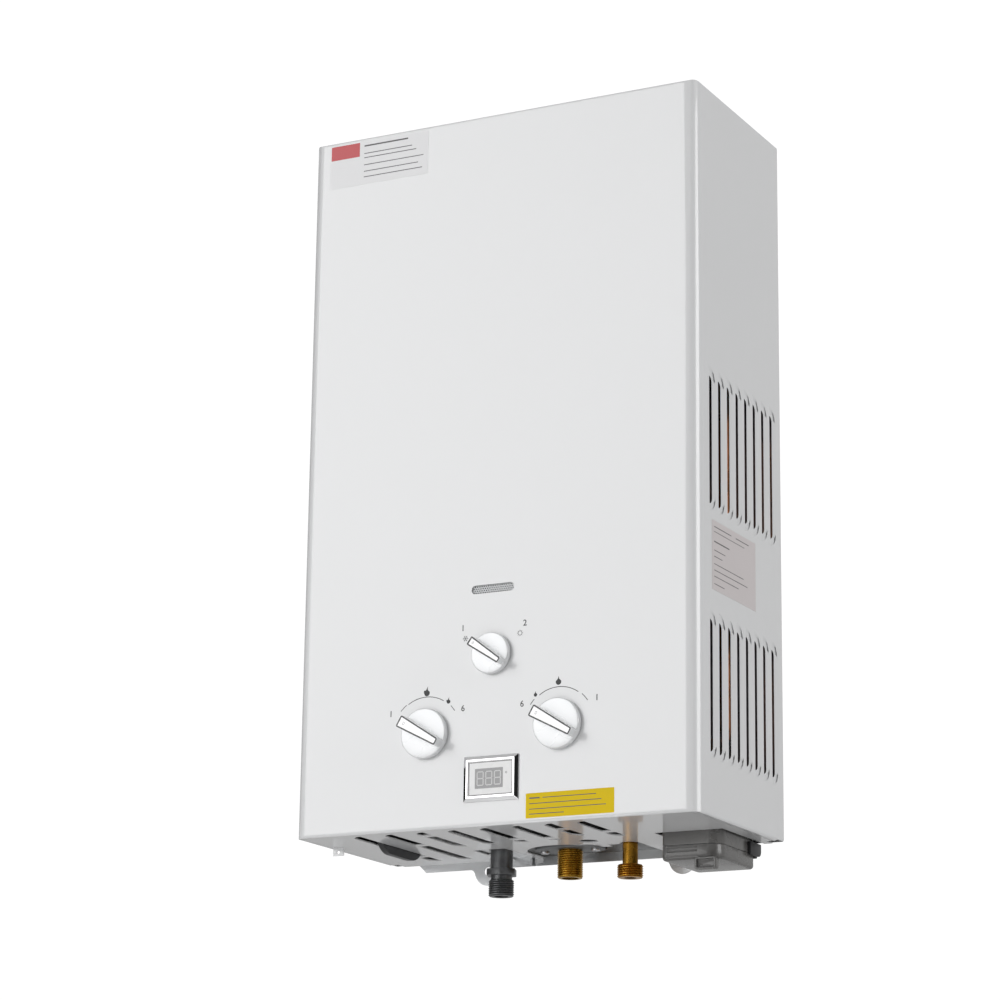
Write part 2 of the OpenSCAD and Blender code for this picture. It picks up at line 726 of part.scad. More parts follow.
// Upper half of the flow valve: flange, dome and the boss that guides the rod
module diaphragm_cover() {
  color([0.62, 0.63, 0.64]) at(cold_x, -cold_y, valve_cover_z) difference() {
    rotate_extrude($fn = 72)
      polygon([[rod_r + run_fit, 8], [17, 8], [17, 0], [valve_r, 0], [valve_r, valve_flange_h],
               [20, valve_flange_h], [14, 14], [8, 16], [8, valve_boss_z - valve_cover_z],
               [rod_r + run_fit, valve_boss_z - valve_cover_z]]);
    for (a = [0:60:300]) at(23 * cos(a), 23 * sin(a), -1) cylinder(r = 2 + run_fit, h = 20);
  }
}

// Six pan-head screws that clamp the flow valve, heads below
module valve_screws() {
  length = valve_body_h + diaphragm_t + valve_flange_h + 2 * seat;
  color([0.75, 0.75, 0.76])
    for (a = [0:60:300]) at(cold_x + 23 * cos(a), -cold_y + 23 * sin(a), valve_z) {
      at(0, 0, -2.2 - 0.05) cylinder(r = 3.6, h = 2.2);
      at(0, 0, -0.1) cylinder(r = 2, h = length);
    }
}

// ---------------------------------------------------------------- gas way

// Zinc gas nipple: body, hexagonal collar, neck and thread
module gas_inlet() {
  body_r = 9.2;
  color([0.35, 0.35, 0.37]) at(gas_x, -gas_y, 0) difference() {
    union() {
      threaded_end(gas_drop, thread_len, fit_bore_r);
      at(0, 0, -gas_drop + thread_len - 1) cylinder(r = 9, h = gas_drop - thread_len - 18);
      at(0, 0, -20) rotate([0, 0, 10]) cylinder(r = 13.4, h = 5.4, $fn = 6);
      at(0, 0, -15) cylinder(r = body_r, h = 67);
    }
    at(0, 0, -gas_drop - 1) cylinder(r = fit_bore_r, h = 40);
  }
}

// Die-cast gas valve: barrel along X, inlet boss, front boss for the knob, rod bore below
module gas_valve_body() {
  color([0.66, 0.67, 0.68]) difference() {
    union() {
      bar_x(gas_body_x0, gas_body_y, gas_body_z, gas_body_r, gas_body_x1 - gas_body_x0);
      bar_x(gas_body_x0, gas_body_y, gas_body_z, gas_body_r + 2.5, 5);
      bar_x(gas_body_x1 - 5, gas_body_y, gas_body_z, gas_body_r + 2.5, 5);
      at(gas_x, -gas_y, 48) cylinder(r = 13, h = 30);
      bar_y(gas_knob_x, gas_front_y, gas_knob_z, 14, 75);
      bar_y(gas_knob_x, gas_front_y - 6, gas_knob_z, 8, 10);
      bar_y(-30, -64, 84, 10, 22);
    }
    at(gas_x, -gas_y, 40) cylinder(r = 9.2 + run_fit, h = 12 + seat);
    bar_y(gas_knob_x, gas_front_y - 7, gas_knob_z, spindle_r + run_fit, 30);
    at(cold_x, -cold_y, 50) cylinder(r = rod_r + run_fit, h = 32);
  }
}

module gas_solenoid() {
  color([0.2, 0.2, 0.22]) {
    bar_x(gas_body_x0 - seat - 24, gas_body_y, gas_body_z, 13, 24);
    bar_x(gas_body_x0 - seat - 27, gas_body_y, gas_body_z, 8, 4);
  }
}

module gas_riser() {
  y = manifold_y + manifold_s / 2;
  color([0.75, 0.75, 0.77])
    pipe([[-30, -64 - seat, 84], [-30, y, 84], [-30, y, manifold_z - seat]], 6, 12);
}

// Selector cock on the manifold's face, worked by the season knob
module selector_cock() {
  color([0.66, 0.67, 0.68]) difference() {
    union() {
      bar_y(season_knob_x, selector_front, season_knob_z, selector_r, manifold_y - seat - selector_front);
      bar_y(season_knob_x, selector_front - 3, season_knob_z, 7, 4);
    }
    bar_y(season_knob_x, selector_front - 4, season_knob_z, spindle_r + run_fit, 16);
  }
}

module gas_manifold() {
  half = (burner_count - 1) / 2 * burner_pitch + 8;
  color([0.66, 0.67, 0.68]) difference() {
    block([-half, manifold_y, manifold_z], [half, manifold_y + manifold_s, manifold_z + manifold_s]);
    for (i = [0:burner_count - 1])
      bar_y((i - (burner_count - 1) / 2) * burner_pitch, manifold_y + 8, manifold_z + 7, 2.5 + run_fit, 10);
  }
}

module injectors() {
  color([0.72, 0.52, 0.16])
    for (i = [0:burner_count - 1]) {
      x = (i - (burner_count - 1) / 2) * burner_pitch;
      bar_y(x, manifold_y + 9, manifold_z + 7, 2.5, manifold_s - 9 + 0.2);
      bar_y(x, manifold_y + manifold_s + 0.1, manifold_z + 7, 3.6, 2.2);
      bar_y(x, manifold_y + manifold_s + 2, manifold_z + 7, 2, 2.5);
    }
}

// Sheet frame that holds the row of burner blades
module burner_tray() {
  lip = 5;
  color([0.72, 0.74, 0.76]) difference() {
    block([-tray_w / 2, tray_front, tray_z], [tray_w / 2, tray_back, tray_top]);
    block([-tray_w / 2 + plate_t, tray_front + plate_t, tray_z + plate_t],
          [tray_w / 2 - plate_t, tray_back - plate_t, tray_top + 1]);
    block([-tray_w / 2 + lip, tray_front + lip, tray_z - 1], [tray_w / 2 - lip, tray_back - lip, tray_top]);
  }
}

// Row of flat burner blades: venturi duct below, blade above, flame ports across the top
module burner_blades() {
  duct_w = 11;
  blade_w = 6;
  y0 = tray_front + 5 + seat;
  y1 = tray_back - 5 - seat;
  ports = 9;
  color([0.7, 0.68, 0.64])
    for (i = [0:burner_count - 1]) translate([(i - (burner_count - 1) / 2) * burner_pitch, 0, 0]) difference() {
      union() {
        bar_y(0, y0, blade_z + 7, duct_w / 2, y1 - y0);
        block([-blade_w / 2, y0, blade_z + 7], [blade_w / 2, y1, blade_top - 4]);
        block([-blade_w / 2 - 1.5, y0 - 3, blade_top - 10], [blade_w / 2 + 1.5, y1 + 3, blade_top]);
      }
      bar_y(0, y0 - 1, blade_z + 7, 3.6, 20);
      for (k = [0:ports - 1]) {
        y = y0 + (k + 0.5) * (y1 - y0) / ports;
        block([-blade_w, y - 0.8, blade_top - 3], [blade_w, y + 0.8, blade_top + 1]);
      }
    }
}

// ---------------------------------------------------------------- ignition and sensing

module electrode_brackets() {
  color([0.72, 0.74, 0.76])
    for (s = [-1, 1]) difference() {
      block([s * 42 - 8, chamber_front - seat - plate_t, window_z - 7],
            [s * 42 + 8, chamber_front - seat, window_z + 12]);
      bar_y(s * 42, chamber_front - 5, window_z, 3 + run_fit, 10);
    }
}

module electrode(x, reach) {
  color([0.93, 0.92, 0.88]) {
    bar_y(x, chamber_front - 16, window_z, 3, 26);
    bar_y(x, chamber_front - 20, window_z, 1.2, 5);
    bar_y(x, chamber_front + 9, window_z, 1, reach);
  }
}

module spark_electrode() {
  electrode(-42, 14);
}

module flame_sensor() {
  electrode(42, 22);
}

// Pulse igniter: flat round-bottomed backing that dips through the first louvre, and its box
module igniter_module() {
  x0 = bottom_first - bottom_louvre_w / 2 + bottom_lip_w + 0.5;
  color([0.1, 0.1, 0.11]) {
    translate([x0, front_y + 82, 0]) rotate([90, 0, 90]) linear_extrude(5) {
      translate([-38, 15.3]) square([76, 34]);
      translate([-16, -6.7]) square([32, 30]);
      for (s = [-1, 1]) translate([s * 16, 15.3]) circle(22);
    }
    block([x0 + 4, front_y + 54, 14], [x0 + 27, front_y + 110, 46]);
  }
}

module igniter_bracket() {
  x0 = bottom_first - bottom_louvre_w / 2 + bottom_lip_w + 0.5 + 27 + seat;
  y = plate_front - seat;
  color([0.72, 0.74, 0.76]) {
    block([x0, front_y + 70, 20], [x0 + plate_t, y, 40]);
    block([x0 - 14, y - plate_t, 20], [x0 + plate_t / 2, y, 40]);
  }
}

// Micro switch on an upright foot, with the ears that carry its lever
module micro_switch() {
  y = -cold_y;
  color([0.12, 0.12, 0.13]) {
    block([24, y - 6, 59.5], [44.5, y + 6, 70]);
    at(30, y, 58.8) cylinder(r = 1.5, h = 2);
    for (s = [-1, 1])
      block([lever_pin_x - 2, y + s * 3.8 - 0.7, lever_z - 1.5], [lever_pin_x + 2.4, y + s * 3.8 + 0.7, 60]);
    bar_y(lever_pin_x, y - 3.8, lever_z + lever_t / 2, lever_pin_r, 7.6);
    block([44, y - 6, valve_cover_z + valve_flange_h + seat], [46, y + 6, 70]);
    block([27, y - 6, valve_cover_z + valve_flange_h + seat], [46, y + 6, valve_cover_z + valve_flange_h + 2]);
  }
}

module switch_lever() {
  y = -cold_y;
  color([0.8, 0.8, 0.82]) difference() {
    union() {
      block([10, y - lever_w / 2, lever_z], [lever_pin_x, y + lever_w / 2, lever_z + lever_t]);
      bar_y(lever_pin_x, y - lever_w / 2, lever_z + lever_t / 2, lever_eye_r, lever_w);
    }
    bar_y(lever_pin_x, y - lever_w, lever_z + lever_t / 2, lever_pin_r + run_fit, 2 * lever_w);
  }
}

// Push rod from the diaphragm to the gas valve, with its plate and the collar that lifts the lever
module flow_rod() {
  color([0.78, 0.76, 0.7]) at(cold_x, -cold_y, 0) {
    at(0, 0, valve_cover_z) cylinder(r = 14, h = 2);
    at(0, 0, valve_cover_z + 1) cylinder(r = rod_r, h = 76 - valve_cover_z);
    at(0, 0, rod_collar_z) cylinder(r = rod_collar_r, h = rod_collar_t);
  }
}

module thermal_cutout() {
  z = chamber_top - 34;
  color([0.15, 0.15, 0.16]) {
    bar_x(-chamber_w / 2 - seat - 4, chamber_mid, z, 9, 4);
    bar_x(-chamber_w / 2 - seat - 11, chamber_mid, z, 7, 8);
    for (s = [-1, 1])
      block([-chamber_w / 2 - seat - 17, chamber_mid + s * 3 - 1.5, z - 0.4],
            [-chamber_w / 2 - seat - 10, chamber_mid + s * 3 + 1.5, z + 0.4]);
  }
}

// ---------------------------------------------------------------- display and viewing slot

// Chromed frame round the display, with snap walls through the panel
module display_bezel() {
  w = bezel_w;
  h = bezel_h;
  in_w = w - 2 * frame_w;
  in_h = h - 2 * frame_w;
  color([0.86, 0.87, 0.88]) at(display_x, 0, display_z) difference() {
    union() {
      translate([0, front_y - 0.1, 0]) rotate([90, 0, 0]) linear_extrude(1.6) round_rect(w, h, 1.5);
      translate([0, front_y - 1.6, 0]) rotate([90, 0, 0]) linear_extrude(1.2) round_rect(w - 2, h - 2, 1.2);
      translate([0, front_y + 6, 0]) rotate([90, 0, 0]) linear_extrude(6.5)
        square([in_w + 2 - 2 * cut_clear, in_h + 2 - 2 * cut_clear], center = true);
    }
    translate([0, front_y + 7, 0]) rotate([90, 0, 0]) linear_extrude(20) square([in_w, in_h], center = true);
  }
}

// Plastic body of the display module behind the bezel
module display_housing() {
  w = bezel_w - 2 * frame_w - 2 * seat;
  h = bezel_h - 2 * frame_w - 2 * seat;
  color([0.93, 0.93, 0.92]) at(display_x, 0, display_z) difference() {
    union() {
      translate([0, panel_y + display_depth, 0]) rotate([90, 0, 0])
        linear_extrude(display_depth + sheet_t + 1.2) square([w, h], center = true);
      translate([0, panel_y + display_depth, 0]) rotate([90, 0, 0])
        linear_extrude(display_depth - 6) square([w + 6, h + 6], center = true);
    }
    translate([0, panel_y + display_depth + 1, 0]) rotate([90, 0, 0])
      linear_extrude(display_depth + 0.5) square([w - 3, h - 3], center = true);
    translate([-2.5, front_y + 5, 0]) rotate([90, 0, 0]) linear_extrude(20) square([30, 19], center = true);
  }
}

module display_lens() {
  color([0.55, 0.57, 0.6]) at(display_x - 2.5, 0, display_z)
    translate([0, front_y, 0]) rotate([90, 0, 0]) linear_extrude(1)
      square([30 - 2 * seat, 19 - 2 * seat], center = true);
}

module display_board() {
  w = bezel_w - 2 * frame_w - 3 - 4 * seat;
  h = bezel_h - 2 * frame_w - 3 - 4 * seat;
  color([0.1, 0.35, 0.2]) at(display_x, 0, display_z) {
    translate([0, panel_y + 5, 0]) cube([w, 1.6, h], center = true);
    translate([-2.5, front_y + 3, 0]) cube([28, 5, 17], center = true);
  }
}

// Perforated plate behind the viewing slot
module window_mesh() {
  hole_r = 0.55;
  step = 2;
  rows = 4;
  color([0.8, 0.8, 0.8]) difference() {
    translate([0, panel_y + 1, window_z]) cube([window_w + 8, 0.6, window_h + 8], center = true);
    for (row = [0:rows - 1], i = [0:17]) {
      x = (i - 8.5) * step + (row % 2) * step / 2 - step / 4;
      bar_y(x, panel_y - 1, window_z + (row - (rows - 1) / 2) * 1.7, hole_r, 4);
    }
  }
}

// ---------------------------------------------------------------- battery box

module bat_outline(inset) {
  translate([bat_mid_x, (bat_front + bat_back) / 2])
    round_rect(bat_w - 2 * inset, bat_d - 2 * inset, bat_r - inset);
}

module battery_box() {
  color([0.6, 0.6, 0.61]) {
    difference() {
      at(0, 0, -lid_seam) linear_extrude(bat_top + lid_seam) bat_outline(0);
      at(0, 0, -lid_seam - 1) linear_extrude(bat_top + lid_seam + 1 - bat_wall) bat_outline(bat_wall);
    }
    // flange that seats above the bottom of the case
    difference() {
      at(0, 0, sheet_t + seat) linear_extrude(2) translate([bat_mid_x, (bat_front + bat_back) / 2])
        square([bat_w + 16, bat_d + 12], center = true);
      at(0, 0, -1) linear_extrude(6) bat_outline(bat_wall);
      block([bat_x - 20, bat_back - 1, -1], [bat_x + bat_w + 20, 10, 10]);
    }
  }
}

// Lid under the battery box, with hinge eyes behind and a pull tab in front
module battery_lid() {
  depth = lid_drop - lid_seam - seat;
  color([0.6, 0.6, 0.61]) difference() {
    union() {
      difference() {
        at(0, 0, -lid_drop) linear_extrude(depth) bat_outline(0);
        at(0, 0, -lid_drop + bat_wall) linear_extrude(depth) bat_outline(bat_wall);
        // rounded lower rear edge
        difference() {
          block([bat_x - 1, bat_back - 5, -lid_drop - 1], [bat_x + bat_w + 1, bat_back + 1, -lid_drop + 5]);
          bar_x(bat_x - 2, bat_back - 5, -lid_drop + 5, 5, bat_w + 4);
        }
      }
      for (x = [bat_x + 8, bat_x + bat_w - 16]) {
        bar_x(x, hinge_y, hinge_z, knuckle_r, 8);
        block([x, bat_back - bat_wall, hinge_z - 2.4], [x + 8, hinge_y, hinge_z - seat]);
      }
      // pull tab at the front right corner
      difference() {
        block([bat_x + bat_w - 20, bat_front - 3, -lid_drop - 10], [bat_x + bat_w - 2, bat_front + 1, -lid_drop + 3]);
        block([bat_x + bat_w - 17, bat_front - 4, -lid_drop - 7], [bat_x + bat_w - 5, bat_front - 1.4, -lid_drop + 1]);
      }
    }
    bar_x(bat_x - 1, hinge_y, hinge_z, hinge_pin_r + run_fit, bat_w + 2);
  }
}

// Black bracket behind the box with the hinge pin
module battery_hinge() {
  z0 = hinge_z + knuckle_r + 0.6;
  color([0.08, 0.08, 0.08]) {
    block([bat_x, bat_back + seat, z0], [bat_x + bat_w, bat_back + seat + 1.6, z0 + 18]);
    for (x = [bat_x, bat_x + bat_w - 7.6]) {
      bar_x(x, hinge_y, hinge_z, knuckle_r, 7.6);
      block([x, bat_back + seat, hinge_z], [x + 7.6, bat_back + seat + 1.6, z0 + 1]);
    }
    bar_x(bat_x + 1, hinge_y, hinge_z, hinge_pin_r, bat_w - 2);
  }
}

module battery_cells() {
  color([0.2, 0.3, 0.5])
    for (s = [-1, 1]) at(bat_mid_x, (bat_front + bat_back) / 2 + s * (cell_r + 0.05), cell_z) {
      cylinder(r = cell_r, h = cell_h - 2);
      cylinder(r = 5, h = cell_h);
    }
}

module battery_contacts() {
  color([0.8, 0.78, 0.7])
    for (s = [-1, 1])
      at(bat_mid_x, (bat_front + bat_back) / 2 + s * (cell_r + 0.05), contact_z + 0.25)
        cube([14, 20, 0.5], center = true);
}

module battery_link() {
  color([0.8, 0.78, 0.7])
    at(bat_mid_x, (bat_front + bat_back) / 2, -lid_drop + bat_wall + seat + 0.25)
      cube([14, bat_d - 22, 0.5], center = true);
}

// ---------------------------------------------------------------- knobs

// Outline of a knob's grip: a wide round pointing end and a narrow tail, pointing along +X
module grip_outline(reach, tip_r, tail_r) {
  translate([reach - tip_r, 0]) circle(tip_r);
  translate([-reach + tail_r, 0]) circle(tail_r);
  polygon([[reach - tip_r, tip_r], [-reach + tail_r, tail_r], [-reach + tail_r, -tail_r], [reach - tip_r, -tip_r]]);
}

// Puts a knob drawn flat, height along +z, on the front panel at its rest angle
module on_panel(x, z, angle) {
  translate([x, front_y, z]) rotate([90, 0, 0]) rotate([0, 0, angle]) children();
}

module knob(skirt_r, tip_r, tail_r) {
  wall = 1.6;
  top = knob_gap + skirt_h;
  difference() {
    union() {
      translate([0, 0, knob_gap]) rotate_extrude($fn = 72)
        polygon([[0, 0], [skirt_r, 0], [skirt_r, skirt_h - 1], [skirt_r - 1, skirt_h], [0, skirt_h]]);
      translate([0, 0, top - 1]) linear_extrude(grip_h + 1) grip_outline(skirt_r, tip_r, tail_r);
    }
    // hollow skirt, and the shallow seat of the insert
    difference() {
      translate([0, 0, knob_gap - 1]) cylinder(r = skirt_r - wall, h = skirt_h - wall + 1);
      cylinder(r = spindle_r + 2.5, h = top);
    }
    translate([0, 0, top + grip_h - 1]) linear_extrude(2) grip_outline(skirt_r - 1.3, tip_r - 1.3, tail_r - 1.3);
    translate([0, 0, -1]) cylinder(r = spindle_r + run_fit, h = top + 3);
  }
}

module knob_insert(skirt_r, tip_r, tail_r) {
  top = knob_gap + skirt_h + grip_h;
  translate([0, 0, top - 1 + run_fit]) linear_extrude(1.3)
    grip_outline(skirt_r - 1.3 - run_fit, tip_r - 1.3 - run_fit, tail_r - 1.3 - run_fit);
}

// Spindle from inside a valve's gland into the knob
module spindle(x, z, back) {
  front = front_y - knob_gap - skirt_h - 1.5;
  bar_y(x, front, z, spindle_r, back - front);
}

module gas_knob() {
  color([0.84, 0.85, 0.86]) on_panel(gas_knob_x, gas_knob_z, big_angle) knob(big_skirt_r, 5.35, 3.3);
}

module gas_knob_insert() {
  color([0.95, 0.95, 0.96]) on_panel(gas_knob_x, gas_knob_z, big_angle) knob_insert(big_skirt_r, 5.35, 3.3);
}

module gas_spindle() {
  color([0.7, 0.7, 0.72]) spindle(gas_knob_x, gas_knob_z, gas_front_y + 18);
}

module water_knob() {
  color([0.84, 0.85, 0.86]) on_panel(water_knob_x, water_knob_z, big_angle) knob(big_skirt_r, 5.35, 3.3);
}

module water_knob_insert() {
  color([0.95, 0.95, 0.96]) on_panel(water_knob_x, water_knob_z, big_angle) knob_insert(big_skirt_r, 5.35, 3.3);
}

module water_spindle() {
  color([0.7, 0.7, 0.72]) spindle(water_knob_x, water_knob_z, regulator_front + 24);
}

module season_knob() {
  color([0.84, 0.85, 0.86]) on_panel(season_knob_x, season_knob_z, small_angle) knob(small_skirt_r, 4.2, 2.6);
}

module season_knob_insert() {
  color([0.95, 0.95, 0.96]) on_panel(season_knob_x, season_knob_z, small_angle) knob_insert(small_skirt_r, 4.2, 2.6);
}

module season_spindle() {
  color([0.7, 0.7, 0.72]) spindle(season_knob_x, season_knob_z, selector_front + 8);
}

back_plate();
front_cover();
valve_shelf();
top_panel();
flue_collar();
draft_hood();
heat_chamber();
fin_pack();
exchanger_tubes();
coil_pipe();
chamber_brackets();
hot_pipe();
hot_outlet();
cold_pipe();
water_link_tube();
water_regulator();
water_valve_body();
cold_inlet();
diaphragm();
diaphragm_cover();
valve_screws();
gas_inlet();
gas_valve_body();
gas_solenoid();
gas_riser();
selector_cock();
gas_manifold();
injectors();
burner_tray();
burner_blades();
electrode_brackets();
spark_electrode();
flame_sensor();
igniter_module();
igniter_bracket();
micro_switch();
switch_lever();
flow_rod();
thermal_cutout();
display_bezel();
display_housing();
display_lens();
display_board();
window_mesh();
battery_box();
battery_lid();
battery_hinge();
battery_cells();
battery_contacts();
battery_link();
gas_knob();
gas_knob_insert();
gas_spindle();
water_knob();
water_knob_insert();
water_spindle();
season_knob();
season_knob_insert();
season_spindle();
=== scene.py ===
"""Looks of a wall-hung gas water heater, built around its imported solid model.

The solid model gives every size and place. This script dresses its nodes, adds the pieces that are printed, moulded or
turned in finer detail, and sets up the camera and the studio. Lengths in the classes are in millimetres, but for
the studio, which is in metres.
"""

import json
import logging
import math
from dataclasses import dataclass, replace
from enum import Enum
from typing import Callable, Iterable, Sequence

import bmesh
import bpy
from mathutils import Matrix, Vector

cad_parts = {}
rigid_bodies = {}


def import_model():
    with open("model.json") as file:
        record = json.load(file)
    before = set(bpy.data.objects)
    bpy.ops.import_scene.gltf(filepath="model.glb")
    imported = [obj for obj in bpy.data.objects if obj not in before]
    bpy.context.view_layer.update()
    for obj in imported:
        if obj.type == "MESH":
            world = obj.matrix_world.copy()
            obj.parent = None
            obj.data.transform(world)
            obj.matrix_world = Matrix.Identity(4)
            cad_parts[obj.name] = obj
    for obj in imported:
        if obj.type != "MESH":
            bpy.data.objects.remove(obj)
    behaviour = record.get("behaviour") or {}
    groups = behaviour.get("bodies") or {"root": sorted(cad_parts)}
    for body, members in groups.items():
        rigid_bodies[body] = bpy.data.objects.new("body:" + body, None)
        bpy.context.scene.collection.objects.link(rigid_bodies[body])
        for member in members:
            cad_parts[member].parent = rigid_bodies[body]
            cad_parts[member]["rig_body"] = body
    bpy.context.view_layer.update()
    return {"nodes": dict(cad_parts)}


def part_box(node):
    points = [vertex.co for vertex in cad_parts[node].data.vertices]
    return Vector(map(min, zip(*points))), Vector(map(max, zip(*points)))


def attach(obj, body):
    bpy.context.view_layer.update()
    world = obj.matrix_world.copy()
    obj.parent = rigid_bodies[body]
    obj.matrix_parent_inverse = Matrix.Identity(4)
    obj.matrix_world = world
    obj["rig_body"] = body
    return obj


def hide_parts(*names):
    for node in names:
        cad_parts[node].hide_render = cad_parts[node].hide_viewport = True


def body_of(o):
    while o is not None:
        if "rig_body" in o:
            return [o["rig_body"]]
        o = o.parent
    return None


LOG = logging.getLogger("heater")
MM = 0.001
TINY = 1e-6  # metres within which points count as one
NEAR = 1e-5  # metres within which a place counts as met
FLAT = 0.9  # least share of a normal along an axis for a face that looks along it
PER_METRE = 1000.0
WAVES_PER_METRE = 314.0  # scale of a wave texture that gives one wave to a millimetre
LEAST_ROUGH = 0.02
ROUGH_SPAN = (0.3, 0.7)  # values of a pattern between which the roughness goes from its least to its most
TONE_SPAN = (0.35, 0.65)  # the same for the tone
HEATER = "heater"
PANEL_Y = -170.0
CASE_HALF = 178.0
CASE_TOP = 594.0

Obj = bpy.types.Object
Node = bpy.types.Node
Socket = bpy.types.NodeSocket
Color = tuple[float, float, float, float]
Numbers = Sequence[float]
Pair = tuple[float, float]
Triple = tuple[float, float, float]

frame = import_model()


# ------------------------------------------------------------------ tools


def shifted(x: float, y: float, z: float = 0.0) -> Matrix:
    """Gives the matrix of a shift in millimetres."""
    return Matrix.Translation(Vector((x, y, z)) * MM)


def turned(angle: float, axis: str = "Z") -> Matrix:
    """Gives the matrix of a turn in degrees."""
    return Matrix.Rotation(math.radians(angle), 4, axis)


class Edit:
    """Edit mode on one object, with nothing selected at the start."""

    def __init__(self, obj: Obj) -> None:
        """Keeps the mesh object to work on."""
        self.obj = obj

    def __enter__(self) -> "Edit":
        """Goes into edit mode."""
        Bench.pick(self.obj)
        bpy.ops.object.mode_set(mode="EDIT")
        bpy.ops.mesh.select_all(action="DESELECT")
        return self

    def __exit__(self, *_: object) -> None:
        """Goes back to object mode."""
        bpy.ops.object.mode_set(mode="OBJECT")

    def all(self) -> None:
        """Selects everything."""
        bpy.ops.mesh.select_all(action="SELECT")

    def _select(self, kind: str, test: Callable[[object], bool]) -> None:
        """Selects the elements of one kind that pass a test.

        Args:
            kind: Blender's name of the kind.
            test: takes an element.
        """
        bpy.ops.mesh.select_all(action="DESELECT")
        bpy.ops.mesh.select_mode(type=kind)
        mesh = bmesh.from_edit_mesh(self.obj.data)
        if kind == "FACE":
            mesh.normal_update()
        for item in {"VERT": mesh.verts, "EDGE": mesh.edges, "FACE": mesh.faces}[kind]:
            item.select_set(test(item))
        if kind == "VERT":
            mesh.select_flush(True)
        bmesh.update_edit_mesh(self.obj.data)

    def faces(self, test: Callable[[Vector, Vector], bool]) -> None:
        """Selects faces, by a test that takes a face's centre and its normal."""
        self._select("FACE", lambda face: test(face.calc_center_median(), face.normal))

    def edges(self, test: Callable[[Vector, Vector], bool]) -> None:
        """Selects edges, by a test that takes an edge's two ends."""
        self._select("EDGE", lambda edge: test(edge.verts[0].co, edge.verts[1].co))

    def verts(self, test: Callable[[Vector], bool]) -> None:
        """Selects vertices, by a test that takes a vertex's place."""
        self._select("VERT", lambda vert: test(vert.co))

    def posts(self, test: Callable[[Vector], bool] = lambda a: True, axis: int = 2, least: float = 1.0) -> None:
        """Selects edges that run along an axis.

        Args:
            test: takes an edge's first end.
            axis: number of the axis.
            least: how long an edge is at least, in millimetres.
        """
        self.edges(lambda a, b: abs(a[axis] - b[axis]) > least * MM and test(a))

    def ends(self) -> None:
        """Selects edges that lie level, as round both ends of a disc."""
        self.edges(lambda a, b: abs(a.z - b.z) < TINY)

    @staticmethod
    def extrude(offset: Numbers) -> None:
        """Extrudes the selection by an offset in metres."""
        bpy.ops.mesh.extrude_region_move(TRANSFORM_OT_translate={"value": tuple(offset)})

    @staticmethod
    def inset(width: float, depth: float = 0.0) -> None:
        """Insets the selected faces by a width in millimetres, and moves them by a depth."""
        bpy.ops.mesh.inset(thickness=width * MM, depth=depth * MM, use_boundary=True)

    @staticmethod
    def bevel(width: float, segments: int = 3, only_points: bool = False) -> None:
        """Bevels the selection by a width in millimetres."""
        bpy.ops.mesh.bevel(
            offset=width * MM, segments=segments, affect="VERTICES" if only_points else "EDGES", profile=0.5
        )

    def step(self, half: Numbers, width: float, depth: float) -> None:
        """Extrudes the selected flat end about the Z axis, and draws it in like a mitred frame.

        Args:
            half: the end's half sizes in X and Y now.
            width: how far its sides go in.
            depth: how far it goes up.
        """
        self.extrude((0, 0, depth * MM))
        self.scale(((half[0] - width) / half[0], (half[1] - width) / half[1], 1))

    @staticmethod
    def scale(value: Numbers, centre: Numbers = (0.0, 0.0, 0.0)) -> None:
        """Scales the selection about a centre in metres."""
        bpy.ops.transform.resize(value=tuple(value), center_override=tuple(centre))

    def outward(self) -> None:
        """Turns all faces outwards, over the whole mesh."""
        self.all()
        bpy.ops.mesh.normals_make_consistent(inside=False)

    def paint(self, index: int) -> None:
        """Gives the selected faces the material of a slot."""
        self.obj.active_material_index = index
        bpy.ops.object.material_slot_assign()


